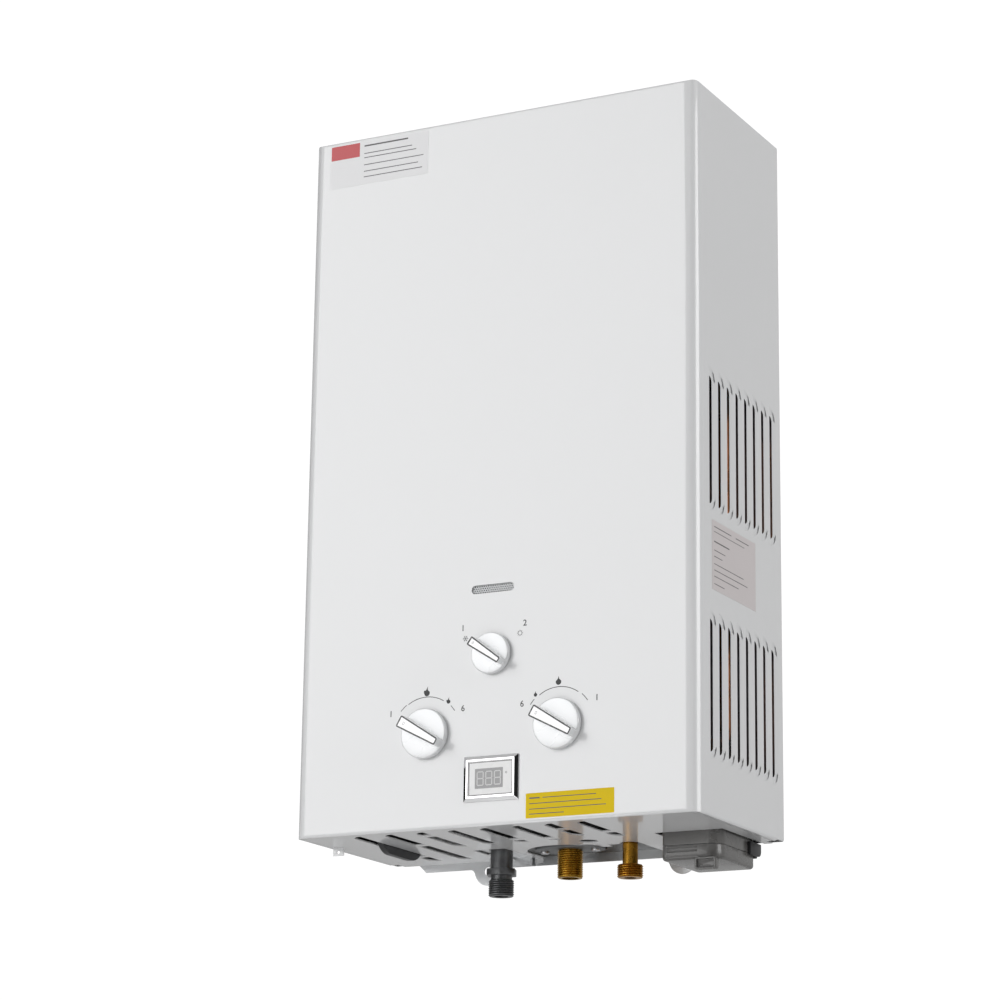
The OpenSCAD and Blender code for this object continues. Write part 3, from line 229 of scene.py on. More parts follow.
class Bench:
    """The steps that every piece shares."""

    @staticmethod
    def pick(*objs: Obj) -> None:
        """Selects these objects alone, the first one active.

        Args:
            objs: the objects.
        """
        Bench.clear()
        for obj in objs:
            obj.select_set(True)
        bpy.context.view_layer.objects.active = objs[0]

    @staticmethod
    def named(name: str) -> Obj:
        """Names the active object, and returns it.

        Args:
            name: the new name.

        Returns:
            The object.
        """
        obj = bpy.context.object
        obj.name = name
        obj.data.name = name
        return obj

    @staticmethod
    def clear() -> None:
        """Deselects everything, so that the next primitive stands alone."""
        if bpy.context.object is not None and bpy.context.object.mode != "OBJECT":
            bpy.ops.object.mode_set(mode="OBJECT")
        bpy.ops.object.select_all(action="DESELECT")

    @classmethod
    def disc(cls, name: str, radius: float, low: float, high: float, count: int = 64) -> Obj:
        """Adds an upright cylinder about the Z axis.

        Args:
            name: the piece's name.
            radius: its radius.
            low: its lower face's height.
            high: its upper face's height.
            count: corners round it.

        Returns:
            The new object.
        """
        cls.clear()
        bpy.ops.mesh.primitive_cylinder_add(
            vertices=count, radius=radius * MM, depth=(high - low) * MM, location=(0, 0, (high + low) / 2 * MM)
        )
        obj = cls.named(name)
        cls.freeze(obj)
        return obj

    @classmethod
    def tube(cls, name: str, radius: float, bore: float, low: float, high: float) -> Obj:
        """Adds an upright tube about the Z axis.

        Args:
            name: the piece's name.
            radius: its outer radius.
            bore: radius of its hole.
            low: its lower end's height.
            high: its upper end's height.

        Returns:
            The new object.
        """
        obj = cls.disc(name, radius, low, high)
        with Edit(obj) as edit:
            edit.faces(lambda c, n: abs(n.z) > FLAT)
            edit.inset(radius - bore)
            edit.faces(lambda c, n: abs(n.z) > FLAT and c.xy.length < NEAR)
            bpy.ops.mesh.bridge_edge_loops()
        return obj

    @classmethod
    def slab(cls, name: str, low: Numbers, high: Numbers) -> Obj:
        """Adds a box between two corners.

        Args:
            name: the piece's name.
            low: its lowest corner.
            high: its highest corner.

        Returns:
            The new object.
        """
        cls.clear()
        middle = [(a + b) / 2 * MM for a, b in zip(low, high)]
        bpy.ops.mesh.primitive_cube_add(size=1, location=middle)
        obj = cls.named(name)
        obj.scale = [(b - a) * MM for a, b in zip(low, high)]
        cls.freeze(obj)
        return obj

    @classmethod
    def card(cls, name: str, low: Numbers, high: Numbers, corner: float, thick: float) -> Obj:
        """Makes a thin flat piece with round corners, lying on the XY plane.

        Args:
            name: the piece's name.
            low: lowest X and Y.
            high: highest X and Y.
            corner: radius of its corners.
            thick: its thickness, towards +Z.

        Returns:
            The new object.
        """
        cls.clear()
        bpy.ops.mesh.primitive_plane_add(size=1, location=((low[0] + high[0]) / 2 * MM, (low[1] + high[1]) / 2 * MM, 0))
        obj = cls.named(name)
        obj.scale = ((high[0] - low[0]) * MM, (high[1] - low[1]) * MM, 1)
        cls.freeze(obj)
        with Edit(obj) as edit:
            if corner > 0:
                edit.all()
                edit.bevel(corner, 5, only_points=True)
            edit.all()
            edit.extrude((0, 0, thick * MM))
            edit.outward()
        return obj

    @classmethod
    def twin(cls, name: str, node: str) -> Obj:
        """Copies a node of the solid model as a new piece, with its loose triangles merged.

        Args:
            name: the piece's name.
            node: the node's name.

        Returns:
            The copy.
        """
        obj = bpy.data.objects.new(name, frame["nodes"][node].data.copy())
        obj.data.name = name
        bpy.context.collection.objects.link(obj)
        with Edit(obj) as edit:
            edit.all()
            bpy.ops.mesh.remove_doubles(threshold=TINY)
            bpy.ops.mesh.dissolve_limited(angle_limit=math.radians(0.2))
        return obj

    @classmethod
    def freeze(cls, obj: Obj) -> None:
        """Puts an object's place into its mesh."""
        cls.pick(obj)
        bpy.ops.object.transform_apply(location=True, rotation=True, scale=True)

    @classmethod
    def move(cls, obj: Obj, place: Matrix) -> Obj:
        """Moves a finished mesh by a matrix, and leaves its object at the origin.

        Args:
            obj: the piece.
            place: the matrix.

        Returns:
            The same piece.
        """
        obj.matrix_world = place @ obj.matrix_world
        cls.freeze(obj)
        return obj

    @classmethod
    def shift(cls, obj: Obj, x: float, y: float, z: float = 0.0) -> Obj:
        """Moves a finished mesh by an offset in millimetres."""
        return cls.move(obj, shifted(x, y, z))

    @classmethod
    def modify(cls, obj: Obj, kind: str, **settings: object) -> None:
        """Adds a modifier with its settings, and applies it.

        Args:
            obj: the piece.
            kind: Blender's name of the modifier.
            settings: its settings.
        """
        modifier = obj.modifiers.new(kind.title(), kind)
        for key, value in settings.items():
            setattr(modifier, key, value)
        cls.pick(obj)
        bpy.ops.object.modifier_apply(modifier=modifier.name)

    @classmethod
    def soften(cls, obj: Obj, width: float, segments: int = 3, angle: float = 40) -> None:
        """Rounds an object's sharp edges by a width, and shades it smooth.

        Args:
            obj: the piece.
            width: radius of the rounding.
            segments: steps round an edge.
            angle: least angle of a sharp edge, in degrees.
        """
        cls.modify(
            obj, "BEVEL", width=width * MM, segments=segments, limit_method="ANGLE", angle_limit=math.radians(angle),
            harden_normals=False,
        )
        cls.smooth(obj)

    @classmethod
    def smooth(cls, obj: Obj, angle: float = 35) -> None:
        """Shades an object smooth, but for its sharp edges."""
        cls.pick(obj)
        bpy.ops.object.shade_smooth_by_angle(angle=math.radians(angle))

    @classmethod
    def even(cls, obj: Obj, angle: float = 30) -> None:
        """Shades an object smooth, with flat faces kept even where a round one meets them."""
        cls.smooth(obj, angle)
        cls.modify(obj, "WEIGHTED_NORMAL", keep_sharp=True, weight=100)

    @classmethod
    def join(cls, name: str, objs: Sequence[Obj]) -> Obj:
        """Joins objects into one, under a new name.

        Args:
            name: the piece's name.
            objs: what is joined.

        Returns:
            The joined piece.
        """
        cls.pick(*objs)
        if len(objs) > 1:
            bpy.ops.object.join()
        return cls.named(name)

    @classmethod
    def copy(cls, obj: Obj, place: Matrix) -> Obj:
        """Copies an object with its own mesh, and moves the copy.

        Args:
            obj: the piece.
            place: the matrix from the piece to the copy.

        Returns:
            The copy.
        """
        cls.pick(obj)
        bpy.ops.object.duplicate(linked=False)
        return cls.move(bpy.context.object, place)

    @classmethod
    def cut(cls, obj: Obj, tool: Obj, operation: str = "DIFFERENCE") -> None:
        """Cuts an object with a tool body, and removes the tool.

        Args:
            obj: the piece.
            tool: the body that cuts.
            operation: Blender's name of the operation.
        """
        cls.modify(obj, "BOOLEAN", operation=operation, object=tool, solver="EXACT")
        cls.pick(tool)
        bpy.ops.object.delete()

    @classmethod
    def arc(cls, name: str, radius: float, start: float, end: float, width: float, thick: float) -> Obj:
        """Makes a flat arc about the origin on the XY plane.

        Args:
            name: the piece's name.
            radius: radius of its middle line.
            start: first angle, in degrees from +X.
            end: last angle.
            width: width of the line.
            thick: its thickness, towards +Z.

        Returns:
            The new object.
        """
        cls.clear()
        bpy.ops.mesh.primitive_plane_add(size=width * MM, location=(radius * MM, 0, 0))
        obj = cls.named(name)
        cls.freeze(obj)
        with Edit(obj) as edit:
            edit.verts(lambda v: v.y > 0)
            bpy.ops.mesh.delete(type="VERT")
            edit.all()
            bpy.ops.transform.translate(value=(0, width / 2 * MM, 0))
            edit.all()
            steps = max(4, int(abs(end - start) / 3))
            bpy.ops.mesh.spin(steps=steps, angle=math.radians(end - start), center=(0, 0, 0), axis=(0, 0, 1))
        mean = sum((v.co for v in obj.data.vertices), Vector()) / len(obj.data.vertices)
        turn = math.radians((start + end) / 2) - math.atan2(mean.y, mean.x)
        cls.move(obj, Matrix.Rotation(turn, 4, "Z"))
        with Edit(obj) as edit:
            edit.all()
            edit.extrude((0, 0, thick * MM))
            edit.all()
            bpy.ops.mesh.remove_doubles(threshold=TINY)
            edit.outward()
        return obj

    @classmethod
    def numeral(cls, name: str, text: str, size: float, thick: float) -> Obj:
        """Makes a flat numeral, centred on the origin.

        Args:
            name: the piece's name.
            text: the number.
            size: its height.
            thick: its thickness, towards +Z.

        Returns:
            The new object.
        """
        cls.clear()
        bpy.ops.object.text_add(location=(0, 0, 0))
        obj = bpy.context.object
        obj.data.body = text
        obj.data.size = size * 1.38 * MM
        obj.data.align_x = "CENTER"
        obj.data.align_y = "CENTER"
        obj.data.extrude = thick / 2 * MM
        obj.data.offset = 0.07 * MM
        obj.data.resolution_u = 4
        bpy.ops.object.convert(target="MESH")
        obj = bpy.context.object
        obj.name = name
        obj.location = (0, 0, thick / 2 * MM)
        cls.freeze(obj)
        return obj


class Face(Enum):
    """Faces of the case that flat pieces are laid on, as the axes of the flat drawing."""

    FRONT = ((1, 0, 0), (0, 0, 1), (0, -1, 0))
    RIGHT = ((0, 1, 0), (0, 0, 1), (1, 0, 0))

    def at(self, x: float, y: float, z: float, angle: float = 0.0) -> Matrix:
        """Place of a flat drawing.

        Args:
            x: X of its origin, in the object's frame.
            y: Y of its origin.
            z: Z of its origin.
            angle: turn in the drawing's plane, in degrees.

        Returns:
            The matrix from the drawing to the object's frame.
        """
        across, up, out = (Vector(axis) for axis in self.value)
        axes = Matrix((across, up, out)).transposed().to_4x4()
        return shifted(x, y, z) @ axes @ turned(angle)


# ------------------------------------------------------------------ finishes


class Pattern(Enum):
    """How a finish varies over its surface."""

    PEEL = "orange peel of powder enamel"
    SPANGLE = "crystals of hot-dip zinc"
    GRAIN = "grain of a casting or a moulding"
    TURNED = "rings left by turning"
    DRAWN = "lines left by drawing or rolling"
    TARNISH = "blotches of heat and age"


class Graph:
    """The nodes and links of one material or world."""

    def __init__(self, tree: bpy.types.NodeTree) -> None:
        """Keeps the node tree."""
        self.nodes = tree.nodes
        self.links = tree.links

    def add(self, kind: str, values: dict | None = None, **settings: object) -> Node:
        """Adds a node.

        Args:
            kind: what follows ShaderNode in its type's name.
            values: its inputs by name or number, each a value or the output it is linked to.
            settings: its own settings.

        Returns:
            The node.
        """
        made = self.nodes.new(f"ShaderNode{kind}")
        for key, value in settings.items():
            setattr(made, key, value)
        self.fill(made, values or {})
        return made

    def fill(self, node: Node, values: dict) -> None:
        """Gives a node's inputs their values or links."""
        for key, value in values.items():
            if isinstance(value, Socket):
                self.links.new(value, node.inputs[key])
            else:
                node.inputs[key].default_value = value

    def span(self, value: Socket, low: float, high: float, to_low: float = 0.0, to_high: float = 1.0) -> Socket:
        """Adds a ramp between two values, held at its ends, and returns its output."""
        ends = {"From Min": low, "From Max": high, "To Min": to_low, "To Max": to_high}
        return self.add("MapRange", {"Value": value, **ends}).outputs["Result"]

    def blend(self, amount: Socket, first: Socket | Color, last: Color) -> Socket:
        """Adds a blend of two tones.

        Args:
            amount: output that gives the share of the last tone.
            first: the first tone, or the output that gives it.
            last: the last tone.

        Returns:
            The blended tone's output.
        """
        made = self.add("Mix", {0: amount}, data_type="RGBA")
        tones = [i for i, socket in enumerate(made.inputs) if socket.type == "RGBA"]
        self.fill(made, dict(zip(tones, (first, last))))
        return next(socket for socket in made.outputs if socket.type == "RGBA")


@dataclass(frozen=True)
class PaintedShadeZone:
    """A painted shade: a second, dark tone for what lies past an edge across the case."""

    tone: Triple
    edge: float
    soft: float = 0.2

    def mask(self, graph: Graph) -> Socket:
        """Adds the nodes that give one where X is greater than the edge's, and returns their output.

        Args:
            graph: the material's nodes.

        Returns:
            The output.
        """
        place = graph.add("TexCoord").outputs["Object"]
        across = graph.add("SeparateXYZ", {0: place}).outputs[0]
        return graph.span(across, (self.edge - self.soft) * MM, (self.edge + self.soft) * MM)


@dataclass(frozen=True)
class Finish:
    """One surface finish, made as a node material."""

    name: str
    color: Triple
    pattern: Pattern = Pattern.GRAIN
    rough: float = 0.4
    spread: float = 0.06
    metal: float = 0.0
    shade: float = 0.9
    size: float = 2.0
    blotch: float = 40.0
    bump: float = 0.15
    depth: float = 0.03
    coat: float = 0.0
    coat_rough: float = 0.06
    clear: float = 0.0
    centre: Triple = (0.0, 0.0, 0.0)
    axis: str = "Z"
    painted_shade_zone: PaintedShadeZone | None = None

    def material(self) -> bpy.types.Material:
        """Builds the material once, and returns it.

        Returns:
            The material.
        """
        name = f"finish_{self.name}"
        found = bpy.data.materials.get(name)
        if found is not None:
            return found
        made = bpy.data.materials.new(name)
        made.use_nodes = True
        graph = Graph(made.node_tree)
        place = graph.add("TexCoord").outputs["Object"]
        spot = graph.add("Mapping", {"Location": [-c * MM for c in self.centre], "Vector": place}).outputs["Vector"]
        spangled = self.pattern is Pattern.SPANGLE
        grain = self._fine(graph, spot).outputs["Color" if spangled else 0]
        broad = graph.add("TexNoise", {"Scale": PER_METRE / self.blotch, "Detail": 3.0, "Vector": spot}).outputs[0]
        varied = grain if spangled else broad
        low, high = max(self.rough - self.spread, LEAST_ROUGH), min(self.rough + self.spread, 1.0)
        bump = graph.add("Bump", {"Strength": self.bump, "Distance": self.depth * MM, "Height": grain})
        graph.fill(graph.nodes["Principled BSDF"], {
            "Metallic": self.metal, "Coat Weight": self.coat, "Coat Roughness": self.coat_rough,
            "Transmission Weight": self.clear, "Base Color": self._color(graph, varied),
            "Roughness": graph.span(varied, *ROUGH_SPAN, low, high), "Normal": bump.outputs["Normal"],
        })
        return made

    def _fine(self, graph: Graph, spot: Socket) -> Node:
        """Adds the texture of the fine pattern, and returns its node.

        Args:
            graph: the material's nodes.
            spot: output that gives the place.

        Returns:
            The node.
        """
        dense = PER_METRE / self.size
        if self.pattern is Pattern.SPANGLE:
            return graph.add("TexVoronoi", {"Scale": dense, "Vector": spot})
        if self.pattern in (Pattern.TURNED, Pattern.DRAWN):
            kind = "rings" if self.pattern is Pattern.TURNED else "bands"
            made = graph.add("TexWave", wave_type=kind.upper(), **{f"{kind}_direction": self.axis})
            graph.fill(made, {"Scale": WAVES_PER_METRE / self.size, "Distortion": 1.2, "Detail": 2.0, "Vector": spot})
            return made
        detail = 4.0 if self.pattern is Pattern.GRAIN else 1.5
        return graph.add("TexNoise", {"Scale": dense, "Detail": detail, "Vector": spot})

    def _color(self, graph: Graph, varied: Socket) -> Socket:
        """Adds the colour, which goes between a shaded and a full tone, and turns to the dark tone of a painted shade
        zone past its edge; returns its output.

        Args:
            graph: the material's nodes.
            varied: output of the pattern that varies it.

        Returns:
            The colour's output.
        """
        low = (*(c * self.shade for c in self.color), 1.0)
        toned = graph.blend(graph.span(varied, *TONE_SPAN), low, (*self.color, 1.0))
        # Painted shade: past the zone's edge the colour turns to its dark tone.
        if self.painted_shade_zone is not None:
            toned = graph.blend(self.painted_shade_zone.mask(graph), toned, (*self.painted_shade_zone.tone, 1.0))
        return toned


ENAMEL = Finish("enamel", (0.745, 0.75, 0.757), Pattern.PEEL, rough=0.3, spread=0.03, shade=0.985, size=1.4,
                blotch=160, bump=0.1, depth=0.02, coat=1.0, coat_rough=0.03)
# Near black for the cover's inner faces: painted shade, so that the louvres and openings read as dark slots.
INSIDE_PAINTED_SHADE = Finish("inside_painted_shade", (0.012, 0.012, 0.013), rough=0.8, size=3, bump=0.1, shade=0.8)
ZINC_SHEET = Finish("zinc_sheet", (0.56, 0.575, 0.585), Pattern.SPANGLE, rough=0.36, spread=0.08, metal=0.85,
                    shade=0.9, size=7, blotch=60, bump=0.03, depth=0.02)
BRIGHT_ZINC = Finish("bright_zinc", (0.7, 0.71, 0.72), Pattern.DRAWN, rough=0.3, spread=0.05, metal=0.8, shade=0.95,
                     size=1.2, blotch=50, bump=0.03, depth=0.01)
# For X above -46 mm the shelf's zinc turns near black: painted shade for the part of the shelf that lies in shadow
# under the case.
SHELF_ZINC_WITH_PAINTED_SHADE = replace(BRIGHT_ZINC, name="shelf_zinc_with_painted_shade", painted_shade_zone=PaintedShadeZone((0.03, 0.03, 0.03), edge=-46.0))
COPPER = Finish("copper", (0.55, 0.23, 0.11), Pattern.TARNISH, rough=0.3, spread=0.12, metal=1.0, shade=0.55, size=9,
                blotch=25, bump=0.1, depth=0.05)
BRASS = Finish("brass", (0.56, 0.33, 0.045), Pattern.TURNED, rough=0.27, spread=0.06, metal=1.0, shade=0.8, size=0.5,
               blotch=9, bump=0.1, depth=0.02)
HOT_BRASS = replace(BRASS, name="hot_brass", color=(0.5, 0.25, 0.03))
GREY_ZINC = Finish("grey_zinc", (0.17, 0.173, 0.177), rough=0.36, spread=0.08, metal=0.85, shade=0.75,
                   size=1.2, blotch=8, bump=0.2, depth=0.04)
CASTING = Finish("casting", (0.2, 0.205, 0.21), rough=0.5, spread=0.08, metal=0.7, shade=0.8, size=1.5,
                 blotch=20, bump=0.4, depth=0.08)
STEEL = Finish("steel", (0.6, 0.6, 0.61), Pattern.DRAWN, rough=0.28, spread=0.08, metal=1.0, shade=0.85, size=0.6,
               blotch=15, bump=0.08, depth=0.02)
BURNER_STEEL = Finish("burner_steel", (0.42, 0.39, 0.36), Pattern.TARNISH, rough=0.4, spread=0.1, metal=1.0, shade=0.6,
                      size=4, blotch=18, bump=0.1, depth=0.03)
RUBBER = Finish("rubber", (0.03, 0.03, 0.03), rough=0.7, size=1.5, bump=0.3)
BLACK_PLASTIC = Finish("black_plastic", (0.022, 0.022, 0.024), rough=0.38, size=0.9, blotch=25,
                       bump=0.25, depth=0.03)
SMOKY_PLASTIC = Finish("smoky_plastic", (0.14, 0.136, 0.131), rough=0.26, spread=0.05, shade=0.85,
                       size=1.6, blotch=30, bump=0.08, depth=0.03, coat=0.3, clear=0.12)
WHITE_PLASTIC = Finish("white_plastic", (0.86, 0.86, 0.86), rough=0.3, size=1.0, bump=0.05, shade=0.98)
BOARD = Finish("board", (0.04, 0.16, 0.08), Pattern.DRAWN, rough=0.4, size=1.5, bump=0.1, shade=0.7)
CERAMIC = Finish("ceramic", (0.84, 0.82, 0.75), rough=0.2, size=2, bump=0.05, coat=0.4)
CHROME = Finish("chrome", (0.9, 0.9, 0.91), Pattern.DRAWN, rough=0.06, spread=0.02, metal=1.0, shade=0.97, size=0.5,
                bump=0.01, depth=0.01)
SILVER = Finish("silver", (0.8, 0.81, 0.82), Pattern.TURNED, rough=0.26, spread=0.04, metal=0.15, shade=0.97, size=0.5,
                bump=0.04, depth=0.01, coat=0.5, axis="Y")
GRIP_FACE = Finish("grip_face", (0.92, 0.92, 0.925), Pattern.DRAWN, rough=0.2, spread=0.03, metal=0.1, shade=0.99,
                   size=0.4, bump=0.02, depth=0.01, coat=0.4)
# Near black: the dark joint round the display's face, and on the knobs' grips a painted reflection that stands for a
# chrome edge.
DARK_JOINT_AND_PAINTED_REFLECTION = Finish("outline", (0.012, 0.012, 0.014), rough=0.3, size=0.8, bump=0.03, coat=0.2)
LCD = Finish("lcd", (0.3, 0.3, 0.305), Pattern.DRAWN, rough=0.25, spread=0.03, shade=0.95, size=0.8, bump=0.01,
             depth=0.01, coat=0.3)
SEGMENT = Finish("segment", (0.62, 0.62, 0.625), rough=0.35, size=0.5, bump=0.02, shade=0.97)
INK = Finish("ink", (0.022, 0.023, 0.024), rough=0.45, size=0.6, bump=0.05, shade=0.8)
PAPER = Finish("paper", (0.79, 0.79, 0.8), rough=0.36, size=0.7, bump=0.06, shade=0.98, coat=0.2)
PALE_PAPER = replace(PAPER, name="pale_paper", color=(0.64, 0.595, 0.595))
YELLOW_PAPER = replace(PAPER, name="yellow_paper", color=(0.78, 0.56, 0.001), shade=0.96, rough=0.8, coat=0.0)
RED_PAPER = replace(PAPER, name="red_paper", color=(0.55, 0.04, 0.05), shade=0.94)
GREY_INK = replace(INK, name="grey_ink", color=(0.12, 0.12, 0.12))
CELL_WRAP = Finish("cell_wrap", (0.05, 0.08, 0.2), rough=0.25, metal=0.3, size=1, bump=0.03, coat=0.4)
MESH_PAINT = Finish("mesh_paint", (0.66, 0.67, 0.68), Pattern.PEEL, rough=0.4, size=1.2, bump=0.05, shade=0.95)

FINISH_NODES: tuple[tuple[Finish, str], ...] = (
    (BRIGHT_ZINC, "back_plate top_panel flue_collar"),
    (ENAMEL, "front_cover"),
    (SHELF_ZINC_WITH_PAINTED_SHADE, "valve_shelf"),
    (ZINC_SHEET, "draft_hood chamber_brackets burner_tray electrode_brackets igniter_bracket"),
    (COPPER, "heat_chamber fin_pack exchanger_tubes coil_pipe hot_pipe cold_pipe water_link_tube"),
    (BRASS, "hot_outlet water_regulator cold_inlet injectors flow_rod"),
    (CASTING, "water_valve_body diaphragm_cover gas_valve_body selector_cock gas_manifold"),
    (RUBBER, "diaphragm"),
    (STEEL, "valve_screws gas_riser switch_lever battery_contacts battery_link gas_spindle water_spindle "
            "season_spindle"),
    (GREY_ZINC, "gas_inlet"),
    (BLACK_PLASTIC, "gas_solenoid igniter_module micro_switch thermal_cutout battery_hinge"),
    (BURNER_STEEL, "burner_blades"),
    (CERAMIC, "spark_electrode flame_sensor"),
    (CHROME, "display_bezel"),
    (WHITE_PLASTIC, "display_housing"),
    (LCD, "display_lens"),
    (BOARD, "display_board"),
    (MESH_PAINT, "window_mesh"),
    (SMOKY_PLASTIC, "battery_box battery_lid"),
    (CELL_WRAP, "battery_cells"),
)


def dress(obj: Obj, *finishes: Finish) -> None:
    """Gives an object its finishes, one to a material slot.

    Args:
        obj: the piece.
        finishes: its finishes, in the order of its slots.
    """
    obj.data.materials.clear()
    for finish in finishes:
        obj.data.materials.append(finish.material())


def hand_over(obj: Obj, body: str, *finishes: Finish) -> Obj:
    """Dresses a finished piece and lets it ride on a body.

    Args:
        obj: the piece.
        body: the CAD body's name.
        finishes: its finishes, or none where it is dressed already.

    Returns:
        The same piece.
    """
    if finishes:
        dress(obj, *finishes)
    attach(obj, body)
    return obj


# ------------------------------------------------------------------ sub-assemblies


class Assembly:
    """A sub-assembly that builds its pieces."""

    def build(self) -> Iterable[Obj]:
        """Builds the pieces and returns them."""
        raise NotImplementedError


@dataclass
class Chassis(Assembly):
    """The nodes of the solid model that are shown as they are, with their finishes."""

    finishes: tuple[tuple[Finish, str], ...] = FINISH_NODES

    def build(self) -> Iterable[Obj]:
        """Dresses each node."""
        for finish, names in self.finishes:
            for name in names.split():
                obj = frame["nodes"][name]
                dress(obj, finish)
                yield obj


@dataclass
class Knob(Assembly):
    """A control knob: a flat skirt with a tapered bar grip, its face ringed near black as a painted reflection of a
    chrome edge.
    """

    name: str
    x: float
    z: float
    radius: float
    tip: float
    tail: float
    angle: float
    gap: float = 0.6
    skirt: float = 5.0
    grip: float = 9.5
    corner: float = 1.5
    wall: float = 1.6
    rim: float = 1.0
    flare: float = 1.012
    dome: Pair = (0.15, 0.1)
    draft: Pair = (0.985, 0.94)
    margin: float = 0.1
    # width of the grip's near-black rim, a painted reflection
    outline: float = 0.95
    sunk: float = 0.35

    def build(self) -> Iterable[Obj]:
        """Builds the skirt and the grip, which stand for the knob and its insert.

        Returns:
            The pieces.
        """
        body = f"{self.name}_control"
        place = Face.FRONT.at(self.x, PANEL_Y, self.z, self.angle)
        silver = replace(SILVER, name=f"silver_{self.name}", centre=(self.x, PANEL_Y, self.z))
        skirt = Bench.move(self._skirt(), place)
        hand_over(skirt, body, silver)
        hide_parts(f"{self.name}_knob")
        grip = self._grip()
        # Second slot: the grip's rim, a painted reflection of a chrome edge in near black.
        dress(grip, silver, DARK_JOINT_AND_PAINTED_REFLECTION, GRIP_FACE)
        self._paint(grip)
        Bench.move(grip, place)
        hand_over(grip, body)
        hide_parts(f"{self.name}_knob_insert")
        mark = Bench.move(self._mark(), place)
        hand_over(mark, body, GREY_INK)
        return skirt, grip, mark

    def _skirt(self) -> Obj:
        """Turns the skirt: a hollow disc with a rounded rim and a faint dome.

        Returns:
            The skirt.
        """
        low, high = self.gap, self.gap + self.skirt
        obj = Bench.disc(f"{self.name}_skirt", self.radius, low, high, 96)
        with Edit(obj) as edit:
            edit.faces(lambda c, n: n.z < -FLAT)
            edit.inset(self.wall)
            edit.extrude((0, 0, (self.skirt - self.wall) * MM))
            edit.faces(lambda c, n: n.z > FLAT and c.z > (high - 0.1) * MM)
            for lift in self.dome:
                edit.inset(0.35 * self.radius, lift)
            edit.verts(lambda v: v.z < (low + 0.1) * MM and v.xy.length > (self.radius - 0.2) * MM)
            edit.scale((self.flare, self.flare, 1))
        Bench.soften(obj, self.rim, 4, 50)
        return obj

    def _grip(self) -> Obj:
        """Shapes the bar: tapered in plan, drafted in height, with a face set into its top inside a narrow rim.

        Returns:
            The grip.
        """
        base = self.gap + self.skirt - 0.4
        top = self.gap + self.skirt + self.grip
        reach = self.radius - 0.15
        obj = Bench.slab(f"{self.name}_grip", (-reach, -self.tip, base), (reach, self.tip, top))
        with Edit(obj) as edit:
            edit.verts(lambda v: v.x < 0)
            edit.scale((1, self.tail / self.tip, 1))
            edit.posts()
            edit.bevel(self.corner, 5)
            edit.verts(lambda v: v.z > (top - 0.1) * MM)
            edit.scale((*self.draft, 1))
            edit.faces(lambda c, n: n.z > FLAT)
            edit.inset(self.margin)
            edit.inset(self.outline)
            edit.inset(0.05, -self.sunk)
            edit.inset(0.1, self.sunk - 0.05)
        Bench.smooth(obj, 30)
        return obj

    def _paint(self, grip: Obj) -> None:
        """Paints the grip's top: its rim near black, a painted reflection of a chrome edge, and its face white.

        Args:
            grip: the grip, before it is put in place.
        """
        top = self.gap + self.skirt + self.grip
        with Edit(grip) as edit:
            edit.faces(lambda c, n: c.z > (top - self.sunk - 0.1) * MM)
            edit.paint(1)
            face = max(
                (f for f in bmesh.from_edit_mesh(grip.data).faces if f.normal.z > FLAT), key=lambda f: f.calc_area()
            ).calc_center_median().copy()
            edit.faces(lambda c, n: (c - face).length < TINY)
            edit.paint(2)

    def _mark(self) -> Obj:
        """Makes the small oval mark near the pointer's tip.

        Returns:
            The mark.
        """
        top = self.gap + self.skirt + self.grip
        size = self.tip * 0.2
        obj = Bench.arc(f"{self.name}_mark", size, 0, 356, 0.28, 0.05)
        Bench.move(obj, Matrix.Diagonal((0.7, 1.1, 1, 1)))
        return Bench.shift(obj, self.radius - self.tip * 1.1, 0, top - 0.04)


class Sign(Enum):
    """Signs on the dials: shift of the tip, scale of the shoulder, shift of a lobe and drop of the whole, by size."""

    FLAME = ((0.35, 1.1), (0.55, 1.15), 0.1, 0.5)
    DROP = ((0.0, 0.9), (0.7, 1.1), 0.0, 0.4)


